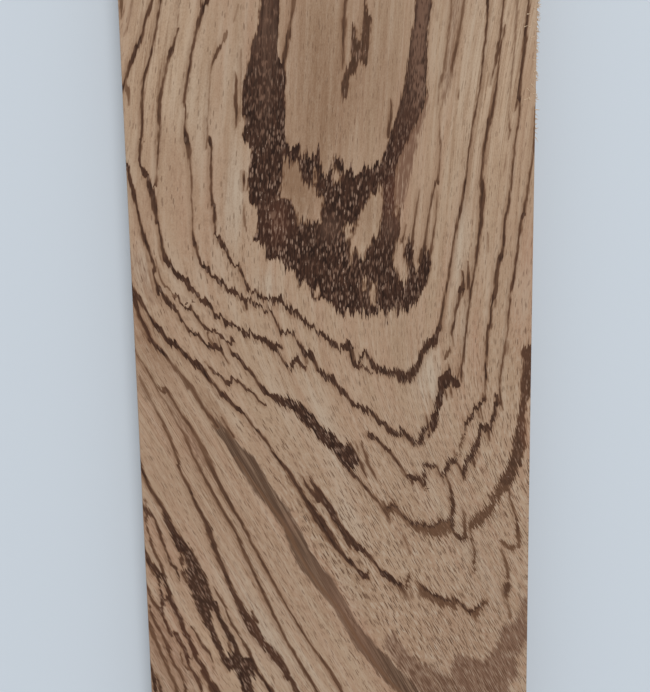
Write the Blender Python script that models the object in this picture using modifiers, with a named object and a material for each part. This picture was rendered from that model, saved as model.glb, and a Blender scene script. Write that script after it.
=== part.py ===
"""A zebrawood board: one piece of wood, planed on both wide faces, lying on its underside.

The frame is in metres with +Z up. X runs across the board and Y along it, in the direction of the
fibres. The origin is the centre of the underside. The left edge (-X) is jointed straight, and the
right edge (+X) is as sawn: slightly hollow, with torn fibres that stand off it near the far end.
"""

import math
import random

import bmesh
import bpy
from mathutils import Euler, Vector

LENGTH = 0.450
WIDTH = 0.150
THICKNESS = 0.025
ARRIS = 0.0005
ARRIS_SEGMENTS = 2

# The sawn edge lies this far inside the full width at mid-length and meets it at both ends.
EDGE_HOLLOW = 0.0005
EDGE_STATIONS = 24

# Torn fibres stand off the sawn edge, in tufts along the stretch where the saw met rising grain.
TUFTS = 9
FIBRES_PER_TUFT = 3
TORN_FROM = 0.072
TORN_TO = 0.134
TUFT_SPREAD = 0.0011
FIBRE_SIDES = 4
FIBRE_LENGTH = (0.0026, 0.0042)
FIBRE_ROOT_RADIUS = (0.00026, 0.00040)
FIBRE_TIP_RADIUS = 0.00010
FIBRE_LEAN_DEG = (22.0, 48.0)
FIBRE_SUNK = 0.55
FIBRE_DEPTHS = (0.0012, 0.0040)
SEED = 7

WOOD_COLOUR = (0.42, 0.29, 0.19, 1.0)
WOOD_ROUGHNESS = 0.62


def clear_scene():
    for old in list(bpy.data.objects):
        bpy.data.objects.remove(old)


def new_collection(name):
    collection = bpy.data.collections.new(name)
    bpy.context.scene.collection.children.link(collection)
    return collection


def wood_material():
    material = bpy.data.materials.new("zebrawood")
    material.use_nodes = True
    shader = material.node_tree.nodes["Principled BSDF"]
    shader.inputs["Base Color"].default_value = WOOD_COLOUR
    shader.inputs["Roughness"].default_value = WOOD_ROUGHNESS
    shader.inputs["Metallic"].default_value = 0.0
    return material


def edge_inset(y):
    """How far the sawn edge lies inside the full width at this place along the board."""
    share = y / (LENGTH / 2)
    return EDGE_HOLLOW * (1.0 - share * share)


def sawn_slab(name, collection, material):
    """The squared board, with the hollow of its sawn edge, before its arrises are eased."""
    mesh = bpy.data.meshes.new(name)
    shape = bmesh.new()
    bmesh.ops.create_cube(shape, size=1.0)
    bmesh.ops.scale(shape, vec=(WIDTH, LENGTH, THICKNESS), verts=shape.verts)
    bmesh.ops.translate(shape, vec=(0.0, 0.0, THICKNESS / 2), verts=shape.verts)
    for station in range(1, EDGE_STATIONS):
        y = LENGTH * (station / EDGE_STATIONS - 0.5)
        bmesh.ops.bisect_plane(
            shape, geom=shape.verts[:] + shape.edges[:] + shape.faces[:],
            plane_co=(0.0, y, 0.0), plane_no=(0.0, 1.0, 0.0))
    for vertex in shape.verts:
        if vertex.co.x > 0:
            vertex.co.x -= edge_inset(vertex.co.y)
    bmesh.ops.recalc_face_normals(shape, faces=shape.faces[:])
    shape.to_mesh(mesh)
    shape.free()
    board = bpy.data.objects.new(name, mesh)
    board.data.materials.append(material)
    collection.objects.link(board)
    ease = board.modifiers.new("Arris", "BEVEL")
    ease.width = ARRIS
    ease.segments = ARRIS_SEGMENTS
    ease.limit_method = "ANGLE"
    ease.angle_limit = math.radians(40)
    return board


def torn_fibre(name, draw, y, collection, material):
    """One slender splinter, its root sunk in the sawn edge and its tip leaning away from it."""
    length = draw.uniform(*FIBRE_LENGTH)
    lean = math.radians(draw.uniform(*FIBRE_LEAN_DEG))
    along = draw.choice((-1.0, 1.0, 1.0))
    mesh = bpy.data.meshes.new(name)
    shape = bmesh.new()
    bmesh.ops.create_cone(
        shape, cap_ends=True, segments=FIBRE_SIDES, radius1=draw.uniform(*FIBRE_ROOT_RADIUS),
        radius2=FIBRE_TIP_RADIUS, depth=length)
    bmesh.ops.translate(shape, vec=(0.0, 0.0, length * (0.5 - FIBRE_SUNK)), verts=shape.verts)
    shape.to_mesh(mesh)
    shape.free()
    fibre = bpy.data.objects.new(name, mesh)
    fibre.data.materials.append(material)
    direction = Vector((math.sin(lean), along * math.cos(lean), draw.uniform(-0.12, 0.12)))
    fibre.rotation_mode = "QUATERNION"
    spin = Euler((0.0, 0.0, draw.uniform(0.0, math.pi))).to_quaternion()
    fibre.rotation_quaternion = direction.to_track_quat("Z", "Y") @ spin
    height = THICKNESS - draw.uniform(*FIBRE_DEPTHS)
    fibre.location = (WIDTH / 2 - edge_inset(y), y, height)
    collection.objects.link(fibre)
    return fibre


def torn_edge(collection, material):
    draw = random.Random(SEED)
    for tuft in range(TUFTS):
        middle = TORN_FROM + (TORN_TO - TORN_FROM) * (tuft + draw.uniform(0.15, 0.85)) / TUFTS
        for number in range(FIBRES_PER_TUFT):
            y = middle + draw.uniform(-TUFT_SPREAD, TUFT_SPREAD)
            torn_fibre(f"fibre_{tuft}_{number}", draw, y, collection, material)


def join_collection(board, collection):
    """Fuses everything in the collection to the board, and removes the loose pieces."""
    union = board.modifiers.new("Torn fibres", "BOOLEAN")
    union.operation = "UNION"
    union.operand_type = "COLLECTION"
    union.collection = collection
    union.solver = "EXACT"
    union.use_self = True
    bpy.context.view_layer.update()
    seen = board.evaluated_get(bpy.context.evaluated_depsgraph_get())
    fused = bpy.data.meshes.new_from_object(seen)
    board.modifiers.clear()
    board.data = fused
    for loose in list(collection.objects):
        bpy.data.objects.remove(loose)
    bpy.data.collections.remove(collection)


def main():
    clear_scene()
    parts = new_collection("zebrawood_board")
    loose = new_collection("torn_fibres")
    wood = wood_material()
    board = sawn_slab("board", parts, wood)
    torn_edge(loose, wood)
    join_collection(board, loose)
    board.data.shade_smooth()
    board.data.set_sharp_from_angle(angle=math.radians(35))


main()
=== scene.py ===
"""The looks of the zebrawood board: its figure, pores, torn edge fibres, floor, lights and camera.

The frame is the CAD's: metres, +Z up, X across the board and Y along it, with the origin at the
centre of the underside. The figure was read from the photograph, so its lines are written
in photograph pixels, and photo_to_board() turns them into millimetres on the upper face.
"""

import math
import random

import bpy
import numpy as np
from mathutils import Matrix, Vector


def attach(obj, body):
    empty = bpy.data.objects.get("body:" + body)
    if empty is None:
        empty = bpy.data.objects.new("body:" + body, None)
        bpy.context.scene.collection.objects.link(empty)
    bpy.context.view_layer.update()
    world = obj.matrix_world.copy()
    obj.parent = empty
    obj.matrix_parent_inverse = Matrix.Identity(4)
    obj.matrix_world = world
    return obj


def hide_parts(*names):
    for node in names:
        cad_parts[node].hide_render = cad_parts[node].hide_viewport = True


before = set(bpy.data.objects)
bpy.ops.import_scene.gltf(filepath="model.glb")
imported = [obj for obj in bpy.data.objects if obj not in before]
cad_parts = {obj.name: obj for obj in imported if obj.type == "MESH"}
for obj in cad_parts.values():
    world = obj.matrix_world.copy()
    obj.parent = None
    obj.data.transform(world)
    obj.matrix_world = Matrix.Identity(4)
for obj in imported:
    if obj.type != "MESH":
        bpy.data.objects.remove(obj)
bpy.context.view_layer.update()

# Sizes of the board in millimetres, as in the CAD.
LENGTH = 450.0
WIDTH = 150.0
THICKNESS = 25.0
ARRIS = 0.5
EDGE_HOLLOW = 0.5

# The photograph's frame, and where the camera stood.
PHOTO_WIDTH = 650
PHOTO_HEIGHT = 692
LENS = 50.0
SENSOR = 36.0
CAMERA_PITCH = math.radians(8.93)
CAMERA_ROLL = math.radians(1.016)
CAMERA_DISTANCE = 361.8
AIM_PIXEL = (333.9, 346.0)
FOCAL = LENS / SENSOR * PHOTO_HEIGHT
MM_PER_PIXEL = 0.377

# The mesh: columns across the upper face, every fourth of which runs on round the underside, and
# steps down each side. The rows lie closest together along the half-length that the photograph
# shows, and grow wider apart beyond it. One row rounds each arris, set in a little from its faces,
# and a fold sharper than the given angle is shaded as an edge.
FINE_COLUMNS = 180
COARSE_STEP = 4
SIDE_STEPS = 8
FINE_ROW = 0.86
COARSE_ROW = 3.2
ROW_GROWTH = 1.12
SEEN_HALF = 134.0
CORNER_INSET = ARRIS * (1.0 - math.sqrt(0.5))
SHARP_ANGLE = math.radians(35)

# Growth layers run down through the board at this many millimetres along for each one deep.
LAYER_SLOPE = 6.0

# How the fibres lean, in degrees: everywhere, drawn in at the top, turned below the great U, and
# straightened again past the photograph. The turn lies along a slanting line.
LEAN = -4.0
LEAN_DRAWN_IN = -7.0
LEAN_TURNED = 32.0
LEAN_STRAIGHTENED = -20.0
TURN_AT = -4.0
TURN_SLOPE = 0.42
TURN_HALF = 40.0

# How far round a shape its distance is kept, the softness of the clearings' edges, how far ahead
# the growth of a distance is measured, how many sets the stripes are shared out into, and the
# least gap in pixels between two stripes of one set.
REACH = 6.0
HOLE_SOFTNESS = 0.5
AHEAD = 0.6
STRIPE_SETS = 5
SET_GAP = 16.0
TINY = 1e-6

# Stripes that run on past the photograph: where they stop, the length of a step, how they wander,
# how their width varies and between which widths, their least darkness, and where across the
# board some new ones start. They stop far enough on for the layers that come out on the underside.
FAR_END = 245.0
NEAR_END = -385.0
RUN_STEP = 6.0
WANDER = 0.035
WANDER_KEPT = 0.75
WIDTH_CHANGE = 0.25
RUN_WIDTHS = (0.5, 3.2)
RUN_DARKNESS = 0.6
NEW_STRIPES_X = (8.0, 22.0, 31.0, 44.0, 60.0)

# Hairs of torn fibre on the sawn edge: how many, where their stretch starts and how long it is,
# and a power below 1 that gathers them towards its far end. Then the length, radius and bend of
# these and of the face's curls, how much all of them taper, and how far they may stand off the
# edge and the face.
SIDE_HAIRS = 125
TORN_FROM = 74.0
TORN_LENGTH = 60.0
TORN_GATHERING = 0.7
SIDE_HAIR_LENGTHS = (0.8, 2.6)
SIDE_HAIR_RADIUS = 0.17
SIDE_HAIR_BEND = 0.5
CURL_LENGTHS = (1.2, 2.6)
CURL_RADIUS = 0.22
CURL_BEND = 0.55
HAIR_TAPER = 0.85
HAIR_STEPS = 6
HAIR_CORNERS = 4
HAIR_OFF_EDGE = 0.93
HAIR_OFF_FACE = 0.3

# The lights and the floor, in metres and watts. Both lights come from one side.
KEY_PLACE = (0.28, 0.5, 1.4)
KEY_SIZE = 0.6
KEY_WATTS = 3.5
SKY_WIDTH = math.radians(23.0)
SKY_STRENGTH = 1.12
WORLD_COLOUR = (0.96, 0.98, 1.0, 1.0)
WORLD_STRENGTH = 0.58
FLOOR_SIZE = 40.0

# Dark stripes: how dark, then each point's place and width in photograph pixels. A fourth number
# is the darkness from there on. A stripe that reaches past the photograph's top or foot runs on.
STRIPES = {
    "edge_top": (0.6, [(121, -2, 5), (122, 12, 4), (121, 20, 1)]),
    "edge_low": (0.6, [(125, 76, 1), (126, 84, 4), (128, 95, 4), (129, 106, 1)]),
    "left_1": (0.35, [(133, -2, 3), (130, 15, 3), (127, 27, 3), (124, 36, 1)]),
    "left_2": (0.95, [
        (152.5, -2, 3.5), (149, 10, 4), (145.5, 20, 4), (143.5, 30, 4), (140.5, 40, 4),
        (136, 50, 4), (133, 57, 4), (130, 64, 4), (128, 72, 3), (125.5, 80, 3), (121, 97, 3)]),
    "left_3": (0.95, [
        (161, -2, 4), (157.5, 20, 3), (154, 40, 3), (149.5, 60, 3.5), (147, 68, 3.5),
        (144.5, 75, 4.5), (143, 85, 4), (142, 95, 3.5), (142, 105, 4), (142, 135, 4),
        (140.5, 142, 5), (140, 150, 4), (140, 158, 4), (142, 165, 3.5), (144.5, 172, 4),
        (147, 178, 4.5), (149, 184, 5), (151, 190, 6), (152.5, 197, 6), (154, 205, 6),
        (156, 214, 5.5), (156.5, 220, 5), (158, 225, 3), (159.5, 232, 3), (161, 238, 4),
        (162, 245, 5), (163.5, 252, 5.5), (166, 259, 6), (170, 264, 4), (174, 269, 4.5),
        (178, 274, 5), (182, 278, 6.5), (187, 283, 6), (189, 287, 4), (192, 291, 4),
        (195, 294, 5), (198, 296, 5), (200, 300, 4.5), (203, 301, 4.5), (206, 303, 5),
        (209, 306, 5), (212, 309, 3.5), (214, 313, 2.5), (217, 316, 4), (223, 318, 4.5),
        (226, 322, 5), (230, 324, 4.5), (234, 326, 4), (237, 328, 2.5), (240, 331, 4),
        (243, 331, 3), (246, 334, 5), (250, 334, 6), (254, 335, 6), (258, 335, 6),
        (261, 338, 5), (264, 340, 5), (268, 343, 5.5), (272, 347, 7), (276, 348, 5),
        (280, 347, 4), (283, 349, 2)]),
    "left_3_fork": (0.95, [
        (274, 347, 3), (276, 350, 3), (279, 354, 2), (282, 359, 2.5), (285, 364, 3),
        (288, 367, 4), (291, 366, 5), (293, 361, 4), (296, 359, 4), (299, 362, 3.5),
        (302, 366, 4), (305, 368, 4), (306, 371, 1)]),
    "left_4_faint": (0.3, [(179, -2, 2), (178, 10, 2), (178, 26, 2)]),
    "left_4": (0.92, [
        (178, 28, 2), (175, 38, 2), (172.5, 48, 3), (169.5, 55, 4), (167, 63, 4),
        (164.5, 75, 3.5), (163, 83, 3.5), (161.5, 90, 4), (160, 100, 5), (159, 110, 6),
        (159.5, 120, 4), (160, 128, 3), (159, 135, 4), (158.5, 142, 3.5), (158, 150, 3),
        (157.5, 160, 2.5), (157, 170, 2, 0.6), (156, 183, 3, 0.8), (154, 188, 3)]),
    "left_5_a": (0.9, [(200.5, -2, 2), (201.5, 8, 2.5)]),
    "left_5": (0.95, [
        (208, -2, 5), (202.5, 10, 5), (199.5, 20, 4), (196.5, 30, 4), (194.5, 40, 4.5),
        (192, 50, 4), (189.5, 68, 4), (187.5, 78, 4.5), (186, 88, 4.5), (185, 95, 3.5),
        (184.5, 102, 3), (185.5, 110, 2), (185.5, 118, 2), (184.5, 125, 3), (185, 132, 4.5),
        (186.5, 140, 6), (188.5, 150, 5.5, 0.75), (189.5, 158, 4.5), (190.5, 168, 3),
        (191.5, 178, 2.5), (191.5, 200, 2), (192.5, 215, 1.5), (192.5, 228, 2),
        (193.5, 238, 3, 0.95), (196, 245, 4.5), (197.5, 253, 4), (199.5, 260, 3),
        (202, 265, 3.5), (206, 265, 4), (209, 270, 4), (212, 275, 3.5), (216, 279, 3.5),
        (221, 283, 5), (225, 286, 4), (228, 289, 5), (231, 291, 5), (234, 291, 5),
        (237, 294, 5), (241, 297, 3), (244, 300, 3), (249, 300, 3), (253, 303, 3),
        (256, 306, 4), (261, 307, 4), (265, 309, 3), (269, 310, 2.5), (272, 313, 2.5),
        (274, 317, 2.5), (277, 323, 2.5), (280, 330, 2.5), (283, 334, 4), (287, 332, 3.5),
        (290, 333, 4), (293, 334, 3), (296, 339, 2.5), (299, 344, 3), (302, 349, 4),
        (305, 353, 6), (309, 354, 7), (312, 358, 4.5), (315, 363, 4), (318, 369, 4.5),
        (321, 372, 4.5), (325, 376, 5), (328, 378, 6.5), (331, 379, 6), (334, 382, 5),
        (337, 386, 4.5), (340, 389, 4), (343, 392, 4.5), (346, 395, 5), (349, 399, 4.5),
        (352, 403, 5), (356, 406, 5.5), (360, 407, 5), (364, 410, 5), (368, 411, 5.5),
        (372, 413, 5), (375, 417, 5), (378, 421, 4), (381, 424, 5), (384, 423, 5),
        (388, 428, 6), (391, 431, 6), (394, 432, 6), (398, 434, 6), (402, 431, 7),
        (406, 435, 6), (409, 438, 5), (412, 441, 6), (414, 445, 4), (417, 441, 3),
        (420, 443, 6), (422, 437, 5), (424, 431, 4.5), (427, 427, 4), (429, 431, 3),
        (429, 439, 1)]),
    "left_5_tooth": (0.95, [(244, 300, 2), (246, 304, 5), (247, 310, 2)]),
    "left_5_knot": (0.9, [(303, 346, 2), (304, 354, 3), (307, 362, 3), (308, 364, 1)]),
    "left_6_top": (0.5, [
        (227, 30, 1), (225, 35, 3), (223, 40, 2.5), (219, 47, 2.5, 0.8), (216, 55, 3),
        (213, 62, 2), (211, 70, 1.5), (210, 80, 1, 0.4), (209, 105, 1.5), (208, 115, 1.5),
        (207.5, 125, 2, 0.7), (206.5, 146, 2.5), (206, 150, 1)]),
    "left_6": (0.95, [
        (209, 136, 2), (210, 142, 6), (211.5, 150, 3), (211, 165, 3), (211, 180, 3.5),
        (212, 200, 3.5), (213.5, 208, 4.5), (214.5, 220, 4.5), (215.5, 232, 2.5),
        (219.5, 236, 4), (221, 241, 4), (224, 245, 4.5), (227, 250, 4.5), (228, 255, 3.5),
        (230, 260, 3), (233, 263, 4), (238, 264, 2.5), (240, 270, 2), (242.5, 276, 2),
        (245, 282, 2), (247, 286, 3), (249, 290, 3.5), (253, 292, 3.5), (256, 290, 2.5),
        (258, 295, 4), (262, 297, 3.5), (266, 299, 3), (270, 298, 3.5), (275, 302, 4.5),
        (279, 299, 5), (282, 303, 5), (286, 306, 5), (289, 308, 5), (292, 312, 4.5),
        (296, 311, 3.5), (299, 316, 3.5), (302, 319, 4), (305, 321, 4.5), (307, 324, 4.5),
        (311, 327, 4), (315, 330, 4), (318, 332, 4.5), (322, 334, 4.5), (325, 337, 5),
        (328, 338, 5), (331, 341, 5), (334, 344, 5), (337, 346, 4.5), (340, 347, 4),
        (344, 346, 6), (348, 347, 8), (351, 350, 8), (352, 356, 8), (354, 362, 6),
        (357, 365, 5), (360, 362, 3.5), (363, 355, 3.5), (365, 352, 3), (368, 356, 3.5),
        (371, 361, 4.5), (374, 366, 6), (378, 369, 7), (382, 370, 7), (386, 372, 7),
        (390, 373, 7), (394, 372, 7), (398, 374, 8), (402, 376, 9), (406, 377, 10),
        (410, 376, 10), (413, 372, 10), (416, 368, 8), (418, 364, 5.5), (420, 359, 5),
        (422, 354, 6), (425, 349, 7), (428, 345, 9), (431, 344, 9), (434, 342, 8),
        (436, 337, 6.5), (438, 331, 6.5), (440, 325, 6), (441, 318, 4.5), (442, 312, 4),
        (443, 305, 4), (444, 298, 3), (446, 290, 2.5), (448, 280, 3), (449.5, 270, 3),
        (451, 260, 3), (452.5, 250, 2), (454, 240, 2.5), (455.5, 232, 3), (457, 225, 3.5),
        (458.5, 218, 4), (461.5, 205, 4), (463, 198, 3), (464, 190, 3.5), (465.5, 180, 3),
        (467, 170, 2), (469, 150, 2.5), (470.5, 142, 3), (472, 130, 2), (474, 118, 3),
        (476, 108, 2.5), (478, 98, 2), (481.5, 75, 2.5), (483.5, 52, 2.5), (485, 42, 3),
        (486, 32, 3), (488, 12, 3.5), (487.5, -2, 4)]),
    "left_6_lower": (0.9, [(357, 366, 2), (362, 368, 2.5), (367, 370, 2.5), (372, 373, 3)]),
    "left_6_tooth": (0.9, [(292, 311, 3), (294, 315, 3), (295, 318, 1)]),
    "spindle_1": (0.95, [
        (235.5, 72, 1), (236, 80, 3), (236, 90, 4), (235.5, 100, 5), (236, 110, 5),
        (236.5, 118, 3), (236, 129, 1)]),
    "spindle_2": (0.9, [(243, 171, 1), (244, 180, 3), (243.5, 191, 1)]),
    "spindle_3": (0.9, [(248, 178, 1), (248, 184, 2), (247, 191, 1)]),
    "spindle_4": (0.5, [(244, 203, 1), (244, 214, 3), (245, 225, 4), (247, 232, 1)]),
    "rust_1": (0.3, [(238, 4, 1), (236, 14, 2), (233, 23, 1)]),
    "rust_2": (0.45, [(241, 48, 1), (241, 80, 1.5), (240, 121, 1)]),
    "in_left_a": (0.95, [
        (120, 152, 3), (124, 160, 3), (128, 168, 3), (129.5, 178, 5), (131.5, 186, 4.5),
        (133.5, 194, 4), (136, 204, 3.5), (138, 213, 3.5), (140, 222, 3), (142, 230, 4),
        (144.5, 238, 4.5), (147, 246, 4.5), (149.5, 253, 3.5), (152, 260, 4),
        (154.5, 267, 4.5), (154, 275, 3), (155, 280, 3), (157, 286, 4), (160, 291, 5),
        (163, 295, 5), (166, 300, 5), (169, 304, 5.5), (173, 308, 5), (177, 311, 4),
        (179, 315, 3.5), (181, 319, 3), (184, 323, 2), (187, 327, 2), (190, 331, 3),
        (194, 333, 4), (197, 335, 3), (199, 337, 2), (202, 341, 3), (205, 344, 3),
        (208, 346, 4), (211, 348, 5), (214, 349, 5), (217, 348, 6), (220, 350, 5),
        (222, 353, 3), (225, 357, 2.5, 0.75), (228, 361, 2), (230, 364, 1)]),
    "in_left_b": (0.6, [(155, 258, 1), (158, 268, 2), (160, 276, 2), (165, 286, 2),
                        (171, 292, 2), (175, 298, 3)]),
    "in_left_c": (0.92, [
        (173, 299, 2), (178, 298, 3), (180, 303, 2.5), (183, 306, 2.5), (186, 308, 3),
        (189, 309, 3), (190, 305, 3), (192, 309, 2.5), (195, 314, 2.5), (198, 318, 2.5),
        (201, 323, 3), (204, 327, 3), (208, 330, 3), (214, 331, 3.5), (216, 334, 2.5),
        (220, 336, 2.5), (223, 339, 3), (227, 339, 2.5), (230, 341, 3), (233, 343, 3),
        (236, 345, 1)]),
    "net_1": (0.7, [(208, 331, 2), (208, 336, 2), (210, 341, 3), (213, 346, 3)]),
    "net_2": (0.6, [(213, 332, 1.5), (216, 340, 1.5), (219, 346, 1.5)]),
    "net_3": (0.6, [(219, 336, 1.5), (220, 345, 1.5)]),
    "edge_a": (0.97, [
        (128, 280, 4), (134, 292, 5), (139, 299, 6), (143, 306, 5), (147, 313, 4),
        (151, 319, 5), (155, 325, 5), (159, 329, 5), (163, 334, 5), (167, 339, 5),
        (171, 343, 6), (176, 345, 5), (180, 349, 5), (184, 354, 5.5), (188, 358, 5),
        (192, 362, 5), (196, 364, 7), (200, 367, 7), (204, 372, 6), (208, 377, 5),
        (212, 382, 4.5), (216, 387, 4.5), (220, 392, 5), (224, 396, 5), (228, 400, 4.5),
        (232, 404, 4), (236, 408, 4.5), (240, 411, 4), (244, 414, 4.5), (247, 418, 3.5),
        (250, 422, 3), (254, 428, 2.5), (259, 433, 3), (263, 438, 3), (268, 444, 3.5),
        (271, 450, 3.5), (275, 455, 4), (279, 460, 4), (284, 466, 5), (288, 471, 5.5),
        (291, 476, 6), (295, 482, 6), (301, 492, 6), (304, 498, 6), (308, 504, 7),
        (312, 510, 9), (316, 516, 10), (320, 522, 11), (324, 528, 11), (328, 534, 10),
        (332, 540, 9), (336, 546, 8), (341, 552, 5.5), (345, 557, 5.5), (349, 561, 5),
        (353, 565, 4.5), (358, 571, 4.5), (363, 575, 4.5), (367, 577, 6), (370, 581, 1)]),
    "edge_a_spike": (0.8, [(368, 568, 1), (368, 573, 3), (367, 578, 3)]),
    "edge_b": (0.97, [
        (130, 294, 8), (135, 301, 8), (137, 308, 7), (139, 315, 6), (142, 321, 6),
        (145, 327, 7), (147, 332, 7), (149, 337, 6), (153, 342, 6), (157, 347, 5.5),
        (161, 351, 5), (165, 355, 4.5), (169, 360, 4.5, 0.8), (173, 366, 5, 0.65),
        (178, 372, 5), (183, 378, 6), (188, 384, 7), (193, 390, 7), (197, 397, 6, 0.7),
        (201, 404, 5.5, 0.75), (205, 409, 5), (209, 415, 5, 0.85), (213, 420, 5),
        (218, 427, 6)]),
    "long_band_edge": (0.45, [
        (236, 457, 1), (250, 478, 3), (262, 494, 3), (274, 510, 3), (286, 528, 4),
        (295, 546, 4), (304, 563, 4), (317, 583, 3), (331, 599, 3), (343, 614, 3),
        (355, 635, 3), (371, 658, 3), (389, 680, 3), (403, 694, 3)]),
    "band_4_side": (0.85, [(221, 417, 2), (224, 422, 3), (228, 428, 3), (234, 437, 4)]),
    "middle_7": (0.97, [
        (227, 343, 1), (229, 348, 2.5), (232, 353, 3.5), (235, 356, 4.5), (239, 359, 4.5),
        (242, 362, 4.5), (245, 366, 4.5), (248, 369, 4), (251, 373, 4), (255, 378, 4),
        (258, 383, 4), (261, 387, 4.5), (264, 390, 5), (268, 394, 5), (272, 396, 6),
        (276, 398, 7), (280, 400, 7), (284, 403, 7), (288, 404, 8), (293, 406, 8)]),
    "middle_8": (0.9, [
        (205, 361, 1), (208, 365, 1.5, 0.5), (211, 368, 3, 0.9), (214, 372, 2),
        (218, 375, 2.5), (221, 377, 3.5), (225, 380, 3), (228, 382, 4.5), (232, 378, 4),
        (235, 379, 3), (238, 381, 3), (241, 384, 2.5), (244, 387, 3), (247, 390, 3),
        (253, 393, 2.5), (256, 397, 2.5), (259, 401, 2.5), (262, 403, 2.5), (266, 406, 1)]),
    "low_left_1": (0.6, [
        (133, 346, 2), (136, 353, 2, 0.8), (140, 360, 2), (144, 365, 2.5), (147, 370, 3),
        (150, 375, 3), (153, 381, 4, 0.6), (157, 386, 3), (161, 389, 4), (166, 391, 4, 0.8),
        (169, 394, 4), (172, 399, 3.5), (175, 404, 3.5), (178, 409, 3), (181, 414, 3.5),
        (185, 420, 5), (191, 428, 5), (195, 435, 6, 0.65), (199, 442, 6), (203, 449, 7),
        (206, 456, 8), (209, 463, 8, 0.75), (213, 471, 7, 0.85), (217, 479, 6),
        (220, 486, 6), (224, 493, 6), (228, 500, 6), (232, 507, 5.5), (236, 514, 5),
        (240, 520, 5), (243, 527, 4.5), (247, 533, 4.5), (250, 540, 4), (253, 546, 4),
        (257, 552, 4.5), (262, 562, 5), (267, 571, 5), (272, 580, 4), (277, 589, 4),
        (281, 596, 3.5), (285, 603, 3.5), (290, 612, 3), (295, 620, 3), (299, 626, 4),
        (303, 633, 4), (308, 640, 3), (313, 648, 3), (318, 655, 4.5), (323, 661, 5),
        (328, 668, 4.5), (333, 676, 5), (338, 684, 5.5), (343, 694, 5)]),
    "low_left_2": (0.5, [
        (139, 376, 2), (142, 382, 3), (146, 390, 4), (150, 398, 3), (154, 406, 3),
        (158, 414, 3.5, 0.7), (163, 422, 4.5), (166, 430, 5), (170, 438, 4.5),
        (173, 446, 4, 0.8), (176, 454, 4), (179, 462, 3.5), (180, 470, 3.5), (183, 477, 4),
        (187, 484, 5), (190, 490, 4.5, 0.92), (192, 496, 4), (195, 502, 4), (198, 508, 4.5),
        (202, 515, 5), (205, 521, 5.5), (208, 528, 7), (210, 535, 7), (213, 542, 7),
        (215, 549, 7), (218, 556, 7), (221, 563, 6.5), (224, 570, 6), (227, 578, 5.5),
        (230, 586, 5.5), (234, 594, 6), (238, 602, 7), (242, 609, 8), (246, 616, 9),
        (250, 623, 10), (254, 631, 9), (259, 638, 8), (264, 644, 8), (270, 650, 9),
        (275, 656, 10), (280, 662, 9), (284, 668, 9), (287, 675, 7), (288, 681, 2)]),
    "low_left_2_tooth": (0.85, [(252, 610, 1), (254, 616, 3), (258, 623, 3)]),
    "low_left_3": (0.5, [
        (152, 380, 1), (156, 388, 2), (160, 394, 2), (165, 401, 3), (169, 408, 3.5, 0.6),
        (173, 416, 3), (178, 425, 3), (183, 433, 4), (187, 441, 4, 0.75), (190, 449, 4),
        (193, 456, 4.5), (197, 463, 4.5), (201, 471, 4.5, 0.85), (205, 479, 4.5),
        (213, 493, 4.5), (221, 508, 4.5), (229, 521, 4.5), (236, 533, 4.5), (239, 540, 4.5),
        (242, 547, 4.5), (245, 554, 5), (249, 562, 5), (253, 571, 5), (257, 580, 4.5),
        (261, 588, 4.5), (265, 597, 4.5), (269, 605, 5), (273, 614, 4.5), (277, 622, 4),
        (281, 630, 4), (285, 638, 4), (289, 645, 3.5), (293, 651, 4.5), (297, 658, 4),
        (301, 665, 5), (305, 672, 5.5), (310, 679, 5.5), (314, 686, 5.5), (318, 694, 6)]),
    "low_left_4": (0.97, [
        (139, 462, 5), (142, 470, 5), (145, 477, 6), (148, 484, 5), (151, 490, 5),
        (155, 496, 5), (159, 502, 5.5), (163, 509, 6), (166, 516, 7), (169, 523, 8),
        (173, 530, 9), (176, 537, 10), (180, 544, 11), (185, 549, 11)]),
    "low_left_5": (0.9, [
        (141, 505, 3), (147, 511, 7), (150, 514, 5), (153, 517, 3), (156, 523, 3.5),
        (159, 530, 4), (161, 537, 3), (163, 543, 3), (166, 551, 3), (170, 560, 3),
        (172, 566, 3.5), (176, 569, 3), (178, 574, 2.5), (180, 581, 1)]),
    "low_left_6": (0.9, [
        (145, 498, 2, 0.6), (146, 512, 2, 0.8), (147, 528, 2), (150, 537, 2.5), (152, 545, 3),
        (155, 553, 3.5), (159, 561, 4), (162, 568, 4), (164, 575, 4)]),
    "low_left_7": (0.95, [
        (143, 548, 4), (147, 556, 5), (149, 562, 6), (153, 567, 6), (156, 571, 7),
        (159, 575, 7), (159, 580, 4), (160, 583, 3), (161, 590, 3), (162, 597, 3.5),
        (163, 603, 4), (161, 609, 4), (163, 616, 3.5), (166, 623, 3.5), (168, 629, 3.5),
        (171, 634, 4), (175, 634, 5), (178, 638, 5), (181, 644, 4.5), (185, 650, 5),
        (187, 656, 4), (188, 663, 4), (191, 669, 4), (194, 674, 5), (197, 678, 6),
        (200, 684, 4), (203, 694, 3)]),
    "low_left_8": (0.95, [
        (160, 574, 5), (164, 577, 6), (165, 581, 4), (167, 586, 4), (169, 593, 5),
        (170, 599, 6), (173, 605, 5.5), (176, 611, 5), (179, 617, 5), (182, 624, 4.5),
        (184, 630, 4.5), (187, 636, 5), (191, 643, 6), (194, 650, 6), (196, 657, 5),
        (199, 662, 5), (203, 667, 7), (205, 673, 7), (208, 680, 7), (212, 686, 11),
        (217, 694, 13)]),
    "low_left_9": (0.9, [
        (163, 600, 3), (168, 599, 3)]),
    "low_left_10": (0.85, [(180, 548, 1), (181, 552, 3), (182, 560, 3.5), (183, 568, 4),
                           (184, 575, 4), (187, 583, 3)]),
    "low_left_11": (0.8, [
        (145, 584, 2), (148, 590, 3), (151, 597, 3.5), (154, 603, 4), (158, 608, 4),
        (161, 610, 3)]),
    "low_left_12": (0.85, [
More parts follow.
